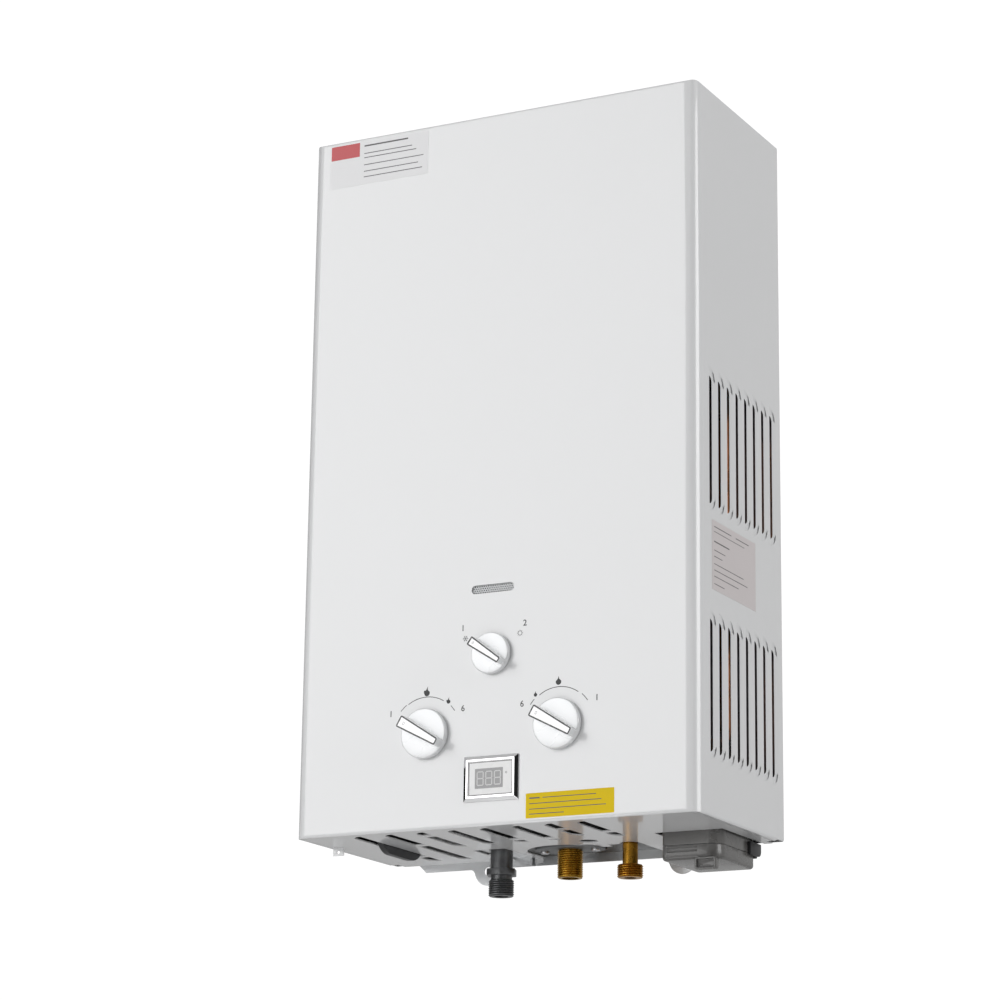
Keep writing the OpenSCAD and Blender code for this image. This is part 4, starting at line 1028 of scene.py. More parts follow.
@dataclass
class DialPrint(Assembly):
    """Marks printed on the front panel round the knobs."""

    thick: float = 0.06
    line: float = 0.55
    text: float = 5.0
    outset: float = 0.6

    def build(self) -> Iterable[Obj]:
        """Prints the arcs, the end marks, the numbers and the signs.

        Returns:
            The pieces.
        """
        made = [
            *self._scale("gas", -58.0, 76.4, 30.1, ((126, 139), (59, 123), (34, 44))),
            *self._scale("water", 59.3, 75.7, 29.5, ((135, 145), (55, 125), (34, 48))),
            self._number("gas_low", "1", -90.2, 94.9), self._number("gas_high", "6", -25.1, 94.6),
            self._number("water_high", "6", 27.2, 94.0), self._number("water_low", "1", 92.3, 93.9),
            self._number("season_first", "1", -26.2, 159.5), self._number("season_second", "2", 29.1, 158.9),
            self._sign("gas_sign", Sign.FLAME, -57.8, 111.0, 2.6),
            self._sign("gas_end_sign", Sign.FLAME, -38.2, 102.1, 1.7),
            self._sign("water_sign", Sign.DROP, 59.0, 110.0, 2.4),
            self._sign("water_end_sign", Sign.DROP, 39.0, 101.0, 1.5),
            self._flake("season_flake", -23.8, 151.0), self._sun("season_sun", 24.8, 151.2),
        ]
        for obj in made:
            hand_over(obj, HEATER, INK)
        return made

    def _lay(self, obj: Obj, x: float, z: float) -> Obj:
        """Lays a flat mark on the front panel."""
        return Bench.move(obj, Face.FRONT.at(x, PANEL_Y - 0.01, z))

    def _scale(
        self, name: str, x: float, z: float, radius: float, arcs: Sequence[Pair]
    ) -> list[Obj]:
        """Prints one dial's arcs, from the first end to the last.

        Args:
            name: the dial's name.
            x: X of the knob.
            z: Z of the knob.
            radius: radius of the arcs.
            arcs: start and end angles of each.

        Returns:
            The pieces.
        """
        made = []
        for i, (start, end) in enumerate(arcs):
            wide = radius if i == 1 else radius + self.outset
            piece = Bench.arc(f"{name}_arc_{i}", wide, start, end, self.line, self.thick)
            made.append(self._lay(piece, x, z))
        return made

    def _number(self, name: str, text: str, x: float, z: float) -> Obj:
        """Prints a plain number."""
        return self._lay(Bench.numeral(f"{name}_number", text, self.text, self.thick), x, z)

    def _sign(self, name: str, sign: Sign, x: float, z: float, size: float) -> Obj:
        """Prints a drop or a flame, which is a disc with its top drawn out.

        Args:
            name: the piece's name.
            sign: which of the two.
            x: X of its middle.
            z: Z of its middle.
            size: the disc's radius.

        Returns:
            The piece.
        """
        tip, pinch, lobe, sink = sign.value
        Bench.clear()
        bpy.ops.mesh.primitive_circle_add(vertices=16, radius=size * MM, fill_type="NGON")
        obj = Bench.named(name)
        Bench.freeze(obj)
        unit = size * MM
        with Edit(obj) as edit:
            edit.verts(lambda v: v.y > 0.95 * unit)
            bpy.ops.transform.translate(value=(tip[0] * unit, tip[1] * unit, 0))
            edit.verts(lambda v: 0.6 * unit < v.y < 0.95 * unit)
            edit.scale((*pinch, 1))
            edit.verts(lambda v: v.x < -0.8 * unit and abs(v.y) < 0.6 * unit)
            bpy.ops.transform.translate(value=(-lobe * unit, 4 * lobe * unit, 0))
        return self._lay(self._raise(obj), x, z - sink * size)

    def _raise(self, obj: Obj) -> Obj:
        """Gives a flat outline the thickness of the ink.

        Args:
            obj: the flat outline.

        Returns:
            The same piece.
        """
        with Edit(obj) as edit:
            edit.all()
            edit.extrude((0, 0, self.thick * MM))
            edit.outward()
        return obj

    def _flake(self, name: str, x: float, z: float) -> Obj:
        """Prints a snowflake of six barbed arms.

        Args:
            name: the piece's name.
            x: X of its middle.
            z: Z of its middle.

        Returns:
            The piece.
        """
        bar = Bench.card(f"{name}_arm", (0, -0.15), (2.4, 0.15), 0, self.thick)
        barbs = [
            Bench.move(
                Bench.card(f"{name}_barb", (0, -0.12), (0.9, 0.12), 0, self.thick),
                shifted(1.4, 0) @ turned(turn),
            )
            for turn in (-50, 50)
        ]
        arm = Bench.join(f"{name}_one", [bar, *barbs])
        arms = [arm] + [Bench.copy(arm, turned(60 * i)) for i in range(1, 6)]
        return self._lay(Bench.join(name, arms), x, z)

    def _sun(self, name: str, x: float, z: float) -> Obj:
        """Prints a sun: a ring with short rays.

        Args:
            name: the piece's name.
            x: X of its middle.
            z: Z of its middle.

        Returns:
            The piece.
        """
        ring = Bench.arc(f"{name}_ring", 1.7, 0, 357, 0.35, self.thick)
        ray = Bench.card(f"{name}_ray", (2.0, -0.16), (2.6, 0.16), 0, self.thick)
        rays = [ray] + [Bench.copy(ray, turned(45 * i)) for i in range(1, 8)]
        return self._lay(Bench.join(name, [ring, *rays]), x, z)


@dataclass
class Stickers(Assembly):
    """Plain stickers in colour, with rows of thin bars."""

    thick: float = 0.12
    ink: float = 0.03

    def build(self) -> Iterable[Obj]:
        """Sticks the three stickers on the case.

        Returns:
            The pieces.
        """
        front = Face.FRONT.at(0, PANEL_Y - 0.01, 0)
        side = Face.RIGHT.at(CASE_HALF + 0.01, 0, 0)
        made = [
            (self._sheet("notice_sheet", (-160.5, 552), (-66.5, 590.6), 1.0), front, PAPER),
            (self._block("notice_band", (-159.9, 577.5), (-132.4, 590.0)), front, RED_PAPER),
            (self._sheet("tip_sheet", (31.5, 3.2), (107.4, 22.8), 0.6), front, YELLOW_PAPER),
            (self._sheet("side_sheet", (-143, 178), (-56, 234), 0.6), side, PALE_PAPER),
            (self._bars("notice_bars", [(-128, 586.4, 42, 1.3), (-128, 579.6, 46, 0.7), (-128, 575.8, 50, 0.7),
                                        (-128, 569.4, 57, 0.7), (-128, 563.6, 52, 0.7), (-128, 558.6, 56, 0.7)]),
             front, GREY_INK),
            (self._bars("tip_bars", [(34.5, 18.9, 9, 1.1), (46, 18.9, 46, 0.6), (34.5, 14.6, 62, 0.6),
                                     (34.5, 10.3, 66, 0.6), (34.5, 6.4, 30, 0.6)]), front, GREY_INK),
            (self._bars("side_bars", [(-139, 229, 34, 0.7), (-96, 229, 26, 0.7), (-139, 225, 60, 0.5),
                                      (-139, 217, 30, 1.0), (-139, 210, 22, 0.6), (-139, 205, 16, 0.6),
                                      (-139, 199, 58, 0.6), (-139, 194, 66, 0.6), (-139, 189, 48, 0.6),
                                      (-139, 183, 20, 0.6)]), side, GREY_INK),
        ]
        for obj, place, finish in made:
            Bench.move(obj, place)
            yield hand_over(obj, HEATER, finish)

    def _sheet(self, name: str, low: Numbers, high: Numbers, corner: float) -> Obj:
        """Cuts one sticker."""
        return Bench.card(name, low, high, corner, self.thick)

    def _block(self, name: str, low: Numbers, high: Numbers) -> Obj:
        """Prints a block of colour on a sticker."""
        obj = Bench.card(name, low, high, 0.3, self.ink)
        return Bench.shift(obj, 0, 0, self.thick)

    def _bars(self, name: str, rows: Sequence[tuple[float, float, float, float]]) -> Obj:
        """Prints rows of bars, each given by its left end, middle height, length and width.

        Args:
            name: the piece's name.
            rows: the bars.

        Returns:
            The piece.
        """
        made = [
            Bench.card(f"{name}_{i}", (x, y - w / 2), (x + length, y + w / 2), 0, self.ink)
            for i, (x, y, length, w) in enumerate(rows)
        ]
        obj = Bench.join(name, made)
        return Bench.shift(obj, 0, 0, self.thick)


@dataclass
class Underside(Assembly):
    """The cover with its pierced floor, the shelf above it and the foot of the flow valve."""

    sheet: float = 1.0
    first: float = -131.5
    pitch: float = 28.4
    start: float = -159.0
    slot: float = 9.4
    lengths: tuple[float, ...] = (138.0, 138.0, 76.0, 76.0, 76.0, 76.0, 62.0, 76.0)
    bridges: tuple[float, ...] = (49.0, 102.0, 143.0, 0.0, 101.0, 96.0, 131.0, 108.0)
    bridge: float = 6.0
    shelf: tuple[Triple, Triple] = ((-70.0, -66.0, 1.4), (82.0, -1.5, 2.4))
    flange: float = 16.0
    foot: Triple = (29.0, 16.0, 13.5)
    foot_z: Pair = (-0.8, 4.4)
    # Faces further below the outer face than deep, or than skin where they look inwards, take the painted shade.
    deep: float = 8.0
    skin: float = 0.75
    fin_x: Pair = (171.0, 176.9)
    fin_y: Pair = (-157.5, -8.0)
    fin_rows: tuple[Pair, ...] = ((40.0, 164.0), (237.0, 361.0))
    fin_plane: float = 177.2
    fin_back: float = 3.5
    press: float = 0.15
    gas: Pair = (-53.0, -46.0)
    cold: Pair = (5.2, -37.0)
    hot: Pair = (63.2, -46.0)
    reach: Pair = (-2.0, 3.0)
    holes: tuple[tuple[str, float, int, Pair], ...] = (
        ("drain", 7.5, 40, (37.0, -69.0)), ("valve", 36.0, 96, (0.2, -24.7)), ("hot", 8.5, 40, (63.2, -46.0)),
    )
    ways: tuple[tuple[str, Pair, Pair], ...] = (
        ("gas", (-72.0, -60.0), (-43.0, -34.0)), ("gas_way", (-63.0, -46.0), (-43.0, 1.0)),
        ("cold_way", (-35.8, -37.0), (71.7, 1.0)), ("hot_way", (43.2, -46.0), (71.7, 1.0)),
        ("battery", (102.5, -85.8), (161.0, 1.0)),
    )

    def build(self) -> Iterable[Obj]:
        """Builds the cover, the shelf and the foot.

        Returns:
            The pieces.
        """
        cover = self._cover()
        hand_over(cover, HEATER)
        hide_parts("front_cover")
        shelf = self._shelf()
        hand_over(shelf, HEATER, SHELF_ZINC_WITH_PAINTED_SHADE)
        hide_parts("valve_shelf")
        foot = self._foot()
        hand_over(foot, HEATER, CASTING)
        return cover, shelf, foot

    def _cover(self) -> Obj:
        """Gives a copy of the cover a new floor, with bridged louvres and notches for the fittings.

        Returns:
            The cover.
        """
        obj = Bench.twin("cover_sheet", "front_cover")
        self._flatten_fins(obj)
        Bench.cut(obj, Bench.slab("floor_room", (-168, -164.5, -0.5), (168, 3, 6.9)))
        floor = Bench.slab("floor_sheet", (-168.02, -164.52, 0), (168.02, -1.5, self.sheet))
        Bench.cut(floor, Bench.join("louvre_tools", self._slots()))
        for tool in self._notches():
            Bench.cut(floor, tool)
        Bench.cut(obj, floor, "UNION")
        lip = Bench.slab("tongue_lip", (-43, -4.5, -4.5), (-35.8, -3.5, 0.2))
        Bench.cut(obj, lip, "UNION")
        Bench.even(obj)
        # The inner faces get the second slot: near-black painted shade inside the case.
        dress(obj, ENAMEL, INSIDE_PAINTED_SHADE)
        with Edit(obj) as edit:
            edit.faces(self._is_inner)
            edit.paint(1)
        obj.name = "cover_sheet"
        return obj

    def _flatten_fins(self, obj: Obj) -> None:
        """Presses the fins of the side louvres to flat, narrower lips, by moving their free edges."""
        for side in (-1, 1):
            with Edit(obj) as edit:
                edit.verts(lambda v, s=side: self._is_fin(Vector((v.x * s, v.y, v.z)) / MM))
                edit.scale((self.press, 1, 1), (side * self.fin_plane * MM, 0, 0))
                bpy.ops.transform.translate(value=(0, self.fin_back * MM, 0))

    def _is_fin(self, spot: Vector) -> bool:
        """Tells whether a point of the right side, in millimetres, is on the free edge of a louvre's fin."""
        (x0, x1), (y0, y1) = self.fin_x, self.fin_y
        return x0 < spot.x < x1 and y0 < spot.y < y1 and any(low < spot.z < high for low, high in self.fin_rows)

    def _is_inner(self, centre: Vector, normal: Vector) -> bool:
        """Tells whether a face of the cover looks inwards, by its place below the outer face and its normal; such faces
        take the near-black painted shade.

        Args:
            centre: the face's centre.
            normal: its normal.

        Returns:
            Whether it does.
        """
        x, y, z = centre / MM
        side, front, high = CASE_HALF - abs(x), y - PANEL_Y, CASE_TOP - z
        depth = min(side, front, z, high)
        outward = {side: math.copysign(normal.x, x * normal.x), front: -normal.y, z: -normal.z, high: normal.z}[depth]
        return depth > self.deep or (depth > self.skin and outward < 0.2)

    def _slots(self) -> list[Obj]:
        """Makes the tools that cut the louvres, with a gap where a bridge stays.

        Returns:
            The tools.
        """
        made = []
        for i, (length, bridge) in enumerate(zip(self.lengths, self.bridges)):
            left = self.first + i * self.pitch
            tool = Bench.slab(f"louvre_{i}", (left, self.start, -2), (left + self.slot, self.start + length, 3))
            with Edit(tool) as edit:
                edit.posts(lambda a, x=left: a.x < (x + 4) * MM)
                edit.bevel(self.slot - 0.1, 6)
            if bridge > 0:
                bar = Bench.slab("bridge_bar", (left - 1, -bridge, -3), (left + 11, -bridge + self.bridge, 4))
                Bench.cut(tool, bar)
            made.append(tool)
        return made

    def _notches(self) -> list[Obj]:
        """Makes the tools that cut the drain hole and the notches, one after another.

        Returns:
            The tools.
        """
        low, high = self.reach
        discs = [
            Bench.shift(Bench.disc(f"{name}_tool", radius, low, high, count), *centre)
            for name, radius, count, centre in self.holes
        ]
        slabs = [Bench.slab(f"{name}_tool", (*start, low), (*end, high)) for name, start, end in self.ways]
        return discs + slabs

    def _shelf(self) -> Obj:
        """Folds the shelf: a panel above the cover's floor, a flange on the wall plate and a return strip.

        Returns:
            The shelf.
        """
        (x, y, z), (end, back, top) = self.shelf
        obj = Bench.slab("fitting_shelf", (x, y, z), (end, back, top))
        flange = Bench.slab("shelf_flange", (x, back - self.sheet, z + 0.1), (end - 6, back, self.flange))
        Bench.cut(obj, flange, "UNION")
        for centre, radius in ((self.gas, 10.4), (self.cold, 30.0), (self.hot, 8.0)):
            Bench.cut(obj, Bench.shift(Bench.disc("shelf_hole", radius, -3, 5, 72), *centre))
        strip = Bench.slab("shelf_strip", (-63, -4.2, -6), (-46, -3.2, 1.6))
        Bench.cut(obj, strip, "UNION")
        Bench.smooth(obj, 30)
        return obj

    def _foot(self) -> Obj:
        """Makes the foot that the flow valve stands on.

        Returns:
            The foot.
        """
        (x, y, corner), (low, high) = self.foot, self.foot_z
        obj = Bench.slab("valve_foot", (-x, -y, low), (x, y, high))
        with Edit(obj) as edit:
            edit.posts()
            edit.bevel(corner, 10)
        Bench.soften(obj, 0.5, 3, 50)
        return Bench.shift(obj, *self.cold)


@dataclass
class FlueCollar(Assembly):
    """The flue collar, as short as the photograph shows it."""

    rim: float = 8.0
    drop: float = 11.0

    def build(self) -> Iterable[Obj]:
        """Lowers the rim of a copy of the collar.

        Returns:
            The pieces.
        """
        obj = Bench.twin("flue_spigot", "flue_collar")
        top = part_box("flue_collar")[1][2]
        with Edit(obj) as edit:
            edit.verts(lambda v: v.z > top - self.rim * MM)
            bpy.ops.transform.translate(value=(0, 0, -self.drop * MM))
        Bench.even(obj, 40)
        hand_over(obj, HEATER, BRIGHT_ZINC)
        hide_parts("flue_collar")
        return (obj,)


@dataclass
class FootScrews(Assembly):
    """The six screws of the flow valve, with crossed heads: two in its foot and four beside it."""

    x: float = 5.2
    y: float = -37.0
    ring: float = 23.0
    count: int = 6
    lows: Pair = (-2.9, 1.9)
    head: Pair = (3.6, 2.1)
    shank: Pair = (1.9, 14.0)
    cross: Triple = (1.9, 0.35, 0.8)

    def build(self) -> Iterable[Obj]:
        """Builds the screws, which stand for the solid ones.

        Returns:
            The pieces.
        """
        made = []
        for i in range(self.count):
            low = self.lows[0] if i % 3 == 0 else self.lows[1]
            turn = math.tau * i / self.count
            x, y = self.x + self.ring * math.cos(turn), self.y + self.ring * math.sin(turn)
            made.append(Bench.shift(self._screw(), x, y, low))
        screws = Bench.join("foot_screws", made)
        hand_over(screws, HEATER, STEEL)
        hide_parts("valve_screws")
        return (screws,)

    def _screw(self) -> Obj:
        """Turns one screw: a domed head with a cross, and its shank.

        Returns:
            The screw.
        """
        radius, high = self.head
        obj = Bench.disc("foot_screw", radius, 0, high, 32)
        with Edit(obj) as edit:
            edit.edges(lambda a, b: a.z < 0.1 * MM and b.z < 0.1 * MM)
            edit.bevel(0.9, 3)
            edit.faces(lambda c, n: n.z > FLAT)
            edit.inset(radius - self.shank[0])
            edit.extrude((0, 0, self.shank[1] * MM))
        reach, half, deep = self.cross
        for turn in (0, 90):
            bar = Bench.slab("cross_bar", (-reach, -half, -1), (reach, half, deep))
            Bench.cut(obj, Bench.move(bar, turned(turn + 20)))
        Bench.smooth(obj, 30)
        return obj


@dataclass
class BatteryBox(Assembly):
    """The smoky battery box: its fixed part, its hinged lid with a pull tab, and the hinge's cheek."""

    left: float = 107.0
    right: float = 157.0
    front: float = -82.8
    back: float = -12.0
    low: float = -22.0
    seam: float = -10.1
    top: float = 44.9
    wall: float = 1.6
    case_fold: float = 1.2
    lid_fold: float = 2.6
    corner: float = 4.0
    front_corner: float = 12.0
    gap: float = 0.25
    hinge: Pair = (-9.2, -10.3)
    knuckles: Pair = (115.0, 141.0)
    knuckle: Pair = (2.3, 8.0)

    def build(self) -> Iterable[Obj]:
        """Builds the fixed part, the lid and the cheek.

        Returns:
            The pieces.
        """
        box = self._tub("battery_case", self.seam, self.top, -1, self.case_fold)
        hand_over(box, HEATER, SMOKY_PLASTIC)
        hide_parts("battery_box")
        lid = self._lid()
        hand_over(lid, "battery_door", SMOKY_PLASTIC)
        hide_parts("battery_lid")
        cheek = Bench.slab("hinge_cheek", (self.right + 0.05, self.back - 15, -11.5), (self.right + 3, -5.5, -1.2))
        with Edit(cheek) as edit:
            edit.posts(lambda a: a.y > -8 * MM and a.z < -8 * MM, axis=0)
            edit.bevel(4.5, 6)
        Bench.soften(cheek, 0.4, 2)
        hand_over(cheek, HEATER, BLACK_PLASTIC)
        return box, lid, cheek

    def _tub(self, name: str, low: float, high: float, mouth: int, fold: float) -> Obj:
        """Moulds a rounded tub that is open at one end.

        Args:
            name: the piece's name.
            low: its lower end.
            high: its upper end.
            mouth: 1 where it opens upwards, -1 where it opens downwards.
            fold: radius round its closed end.

        Returns:
            The tub.
        """
        obj = Bench.slab(name, (self.left, self.front, low), (self.right, self.back, high))
        closed = low if mouth > 0 else high
        with Edit(obj) as edit:
            edit.posts(lambda a: a.x > 150 * MM and a.y < -60 * MM)
            edit.bevel(self.front_corner, 8)
            edit.posts(lambda a: not (a.x > 140 * MM and a.y < -60 * MM))
            edit.bevel(self.corner, 5)
            edit.edges(lambda a, b: all(abs(v.z - closed * MM) < NEAR for v in (a, b)))
            edit.bevel(fold, 4)
            edit.faces(lambda c, n: n.z * mouth > FLAT)
            edit.inset(self.wall)
            edit.extrude((0, 0, -mouth * (high - low - self.wall) * MM))
        Bench.soften(obj, 0.2, 2, 60)
        return obj

    def _lid(self) -> Obj:
        """Moulds the lid: a tub with a recess, a hollow pull tab and two knuckles.

        Returns:
            The lid.
        """
        tub = self._tub("lid_tub", self.low, self.seam - self.gap, 1, self.lid_fold)
        recess = Bench.slab("lid_recess", (112, self.front - 1, -16), (138, self.front + 0.6, -12.2))
        Bench.soften(recess, 0.5, 3)
        Bench.cut(tub, recess)
        tab = Bench.slab("lid_tab", (137, self.front - 3, -31), (155, self.front + 3.5, -21.0))
        with Edit(tab) as edit:
            edit.posts(axis=1)
            edit.bevel(2.4, 4)
            edit.faces(lambda c, n: n.y < -FLAT)
            edit.inset(1.7)
            edit.extrude((0, 2.6 * MM, 0))
        Bench.soften(tab, 0.35, 2, 50)
        parts = [tub, tab]
        y, z = self.hinge
        radius, wide = self.knuckle
        for x in self.knuckles:
            knuckle = Bench.disc("lid_knuckle", radius, 0, wide, 32)
            parts.append(Bench.move(knuckle, shifted(x, y, z) @ turned(90, "Y")))
            parts.append(Bench.slab("lid_arm", (x, self.back - self.wall, z - radius), (x + wide, y, z - 0.5)))
        made = Bench.join("battery_door_lid", parts)
        Bench.smooth(made, 35)
        return made


@dataclass
class Display(Assembly):
    """The temperature display: chromed bezel, white face, glass and its segments."""

    x: float = 1.1
    z: float = 37.0
    width: float = 48.0
    height: float = 36.0
    opening: Pair = (39.0, 27.0)
    shift: float = -1.4
    digit: float = 10.4
    glass: Pair = (24.6, 15.8)
    slant: Pair = (2.8, 1.8)
    proud: float = 2.8
    groove: float = 0.42
    lap: float = 0.3
    plate: float = 1.2
    stroke: float = 1.05
    apart: float = 2.3

    def build(self) -> Iterable[Obj]:
        """Builds the bezel, the face with its glass and groove, the segments and the degree mark.

        Returns:
            The pieces.
        """
        place = Face.FRONT.at(self.x, PANEL_Y, self.z)
        bezel = Bench.move(self._bezel(), place)
        hand_over(bezel, HEATER, CHROME)
        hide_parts("display_bezel")
        w, h = (size / 2 + self.lap for size in self.opening)
        face = Bench.card("display_face", (-w, -h), (w, h), 0.6, 0.5)
        Bench.move(face, place @ shifted(0, 0, self.plate))
        hand_over(face, HEATER, WHITE_PLASTIC)
        w, h = (size / 2 for size in self.glass)
        glass = Bench.card("display_glass", (self.shift - w, -h), (self.shift + w, h), 0.25, 0.6)
        Bench.move(glass, place @ shifted(0, 0, self.plate))
        hand_over(glass, HEATER, LCD)
        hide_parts("display_lens")
        digits = Bench.move(self._digits(), place)
        hand_over(digits, HEATER, SEGMENT)
        line = Bench.move(self._line(), place)
        hand_over(line, HEATER, DARK_JOINT_AND_PAINTED_REFLECTION)
        degree = Bench.arc("display_degree", 0.7, 0, 355, 0.25, 0.05)
        Bench.move(degree, place @ shifted(13.8, 3.6, 1.7))
        hand_over(degree, HEATER, INK)
        return bezel, face, glass, digits, line, degree

    def _bezel(self) -> Obj:
        """Shapes the bezel: a mitred frame with slanted sides, a flat rim and a stepped opening.

        Returns:
            The bezel.
        """
        w, h = self.width / 2, self.height / 2
        across, down = self.slant
        obj = Bench.slab("bezel_frame", (-w, -h, 0.1), (w, h, self.proud - down))
        inner = self.opening[0] / 2
        rim = w - across - inner - 0.4
        with Edit(obj) as edit:
            edit.posts(least=0.5)
            edit.bevel(0.4, 2)
            edit.faces(lambda c, n: n.z > FLAT)
            edit.step((w, h), across, down)
            w, h = w - across, h - across
            edit.step((w, h), rim, 0.0)
            w, h = w - rim, h - rim
            edit.step((w, h), 0.4, -0.5)
            edit.step((w - 0.4, h - 0.4), 0.0, -1.6)
            edit.faces(lambda c, n: n.z < -FLAT and c.z < 0.2 * MM)
            edit.step((self.width / 2, self.height / 2), self.width / 2 - inner, 0.0)
            edit.faces(lambda c, n: abs(n.z) > FLAT and c.xy.length < NEAR)
            bpy.ops.mesh.bridge_edge_loops()
            edit.outward()
        Bench.smooth(obj, 20)
        return obj

    def _line(self) -> Obj:
        """Makes the thin dark groove round the face, with round corners.

        Returns:
            The groove.
        """
        w, h = self.opening[0] / 2 - 0.45, self.opening[1] / 2 - 0.45
        obj = Bench.card("display_joint", (-w, -h), (w, h), 0.9, 0.05)
        w, h = w - self.groove, h - self.groove
        Bench.cut(obj, Bench.card("display_joint_inside", (-w, -h), (w, h), 0.5, 1.0))
        return Bench.shift(obj, 0, 0, 1.7)

    def _digits(self) -> Obj:
        """Lays out three numerals of seven segments on the glass.

        Returns:
            The segments, as one piece.
        """
        made: list[Obj] = []
        half = self.digit / 4 + 0.05
        width = self.stroke
        for k in (-1, 0, 1):
            for dx, dy, turn in (
                (0, 2 * half, 0), (0, 0, 0), (0, -2 * half, 0),
                (-half, half, 90), (half, half, 90), (-half, -half, 90), (half, -half, 90),
            ):
                Bench.clear()
                bpy.ops.mesh.primitive_circle_add(vertices=6, radius=width / 2 * MM, fill_type="NGON")
                segment = Bench.named("segment_bar")
                Bench.freeze(segment)
                Bench.move(segment, turned(30))
                with Edit(segment) as edit:
                    for side in (-1, 1):
                        edit.verts(lambda v, s=side: v.x * s > 0.05 * MM)
                        bpy.ops.transform.translate(value=(side * (half - width * 0.62) * MM, 0, 0))
                    edit.all()
                    edit.extrude((0, 0, 0.04 * MM))
                    edit.outward()
                spot = shifted(self.shift + k * (2 * half + self.apart) + dx, dy, 1.8)
                made.append(Bench.move(segment, spot @ turned(turn)))
        return Bench.join("display_digits", made)


@dataclass
class Thread(Assembly):
    """A male pipe thread with a real helix."""

    name: str
    x: float
    y: float
    mouth: float
    length: float
    bore: float
    radius: float = 10.46
    pitch: float = 1.814
    depth: float = 1.0
    chamfer: float = 0.9
    tooth: tuple[Pair, ...] = ((0.0, 0.0), (1.0, 0.36), (1.0, 0.64), (0.0, 1.0))
    steps: int = 56

    def cut(self) -> Obj:
        """Cuts the thread as a closed piece, its mouth down.

        Returns:
            The piece, from its mouth at the given height upwards.
        """
        obj = self._helix()
        blank = Bench.disc(f"{self.name}_blank", self.radius, self.mouth, self.mouth + self.length, 72)
        with Edit(blank) as edit:
            edit.ends()
            edit.bevel(self.chamfer, 1)
        Bench.cut(obj, blank, "INTERSECT")
        hole = Bench.disc(f"{self.name}_hole", self.bore, self.mouth - 2, self.mouth + self.length + 2, 48)
        Bench.cut(obj, hole)
        obj.name = self.name
        Bench.smooth(obj, 32)
        return obj

    def fit(self, name: str, parts: Sequence[Obj], finish: Finish) -> Obj:
        """Joins the parts of a fitting, puts it in place and hands it over.

        Args:
            name: the fitting's name.
            parts: its parts about the Z axis, the thread first.
            finish: its finish.

        Returns:
            The fitting.
        """
        made = Bench.join(name, parts)
        Bench.smooth(made, 30)
        Bench.shift(made, self.x, self.y)
        return hand_over(made, HEATER, finish)

    def _helix(self) -> Obj:
        """Winds one tooth up the axis, and closes the ends.

        Returns:
            The tooth, as a closed body.
        """
        root = self.radius - self.depth
        turns = int(self.length / self.pitch) + 4
        Bench.clear()
        bpy.ops.mesh.primitive_plane_add(size=1)
        obj = Bench.named(f"{self.name}_helix")
        corners = [(root + self.depth * height, along) for height, along in self.tooth]
        with Edit(obj) as edit:
            edit.all()
            bpy.ops.mesh.delete(type="ONLY_FACE")
            edit.edges(lambda a, b: a.x < 0 and b.x < 0)
            bpy.ops.mesh.delete(type="EDGE")
        order = self._chain(obj)
        for index, (r, z) in zip(order, corners):
            obj.data.vertices[index].co = (r * MM, 0, z * self.pitch * MM)
        Bench.modify(
            obj, "SCREW", axis="Z", angle=math.tau, screw_offset=self.pitch * MM, iterations=turns, steps=self.steps,
            render_steps=self.steps, use_merge_vertices=True, merge_threshold=TINY,
        )
        with Edit(obj) as edit:
            for z, up in ((self.pitch * 1.2, False), (self.pitch * (turns - 1.2), True)):
                edit.all()
                bpy.ops.mesh.bisect(
                    plane_co=(0, 0, z * MM), plane_no=(0, 0, 1), use_fill=True, clear_outer=up, clear_inner=not up
                )
            edit.all()
            bpy.ops.mesh.remove_doubles(threshold=TINY)
            edit.outward()
        return Bench.shift(obj, 0, 0, self.mouth - self.pitch * 1.5)

    @staticmethod
    def _chain(obj: Obj) -> list[int]:
        """Order of the vertices along an open line.

        Args:
            obj: the line.

        Returns:
            The vertices' numbers, from end to end.
        """
        links: dict[int, list[int]] = {}
        for edge in obj.data.edges:
            a, b = edge.vertices
            links.setdefault(a, []).append(b)
            links.setdefault(b, []).append(a)
        order = [next(k for k, v in links.items() if len(v) == 1)]
        while len(order) < len(links):
            order.append(next(v for v in links[order[-1]] if v not in order))
        return order


@dataclass
class GasNipple(Thread):
    """The zinc gas nipple: thread, neck, hexagon and shank."""

    shank: float = 9.2
    hexagon: float = 13.4

    def build(self) -> Iterable[Obj]:
        """Builds the nipple, which stands for the solid one.

        Returns:
            The pieces.
        """
        thread = self.cut()
        neck = Bench.tube("gas_neck", self.shank - 0.5, self.bore, self.mouth + self.length - 1, -19)
        nut = Bench.move(Bench.disc("gas_hexagon", self.hexagon, -20, -14.6, 6), Matrix.Rotation(0.35, 4, "Z"))
        Bench.soften(nut, 0.25, 2, 40)
        chamfer = Bench.disc("gas_chamfer", self.hexagon - 0.45, -20.5, -14.1, 64)
        with Edit(chamfer) as edit:
            edit.ends()
            edit.bevel(1.1, 2)
        Bench.cut(nut, chamfer, "INTERSECT")
        shank = Bench.disc("gas_shank", self.shank, -15, 52, 64)
        made = self.fit("gas_nipple", [thread, neck, nut, shank], GREY_ZINC)
        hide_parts("gas_inlet")
        return (made,)


@dataclass
class ColdThread(Thread):
    """The brass cold water inlet below the flow valve."""

    neck: float = 9.3

    def build(self) -> Iterable[Obj]:
        """Builds the inlet, which stands for the solid one.

        Returns:
            The pieces.
        """
        thread = self.cut()
        neck = Bench.tube("cold_neck", self.neck, self.bore, self.mouth + self.length - 0.5, 13.6)
        made = self.fit("cold_nipple", [thread, neck], BRASS)
        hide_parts("cold_inlet")
        return (made,)


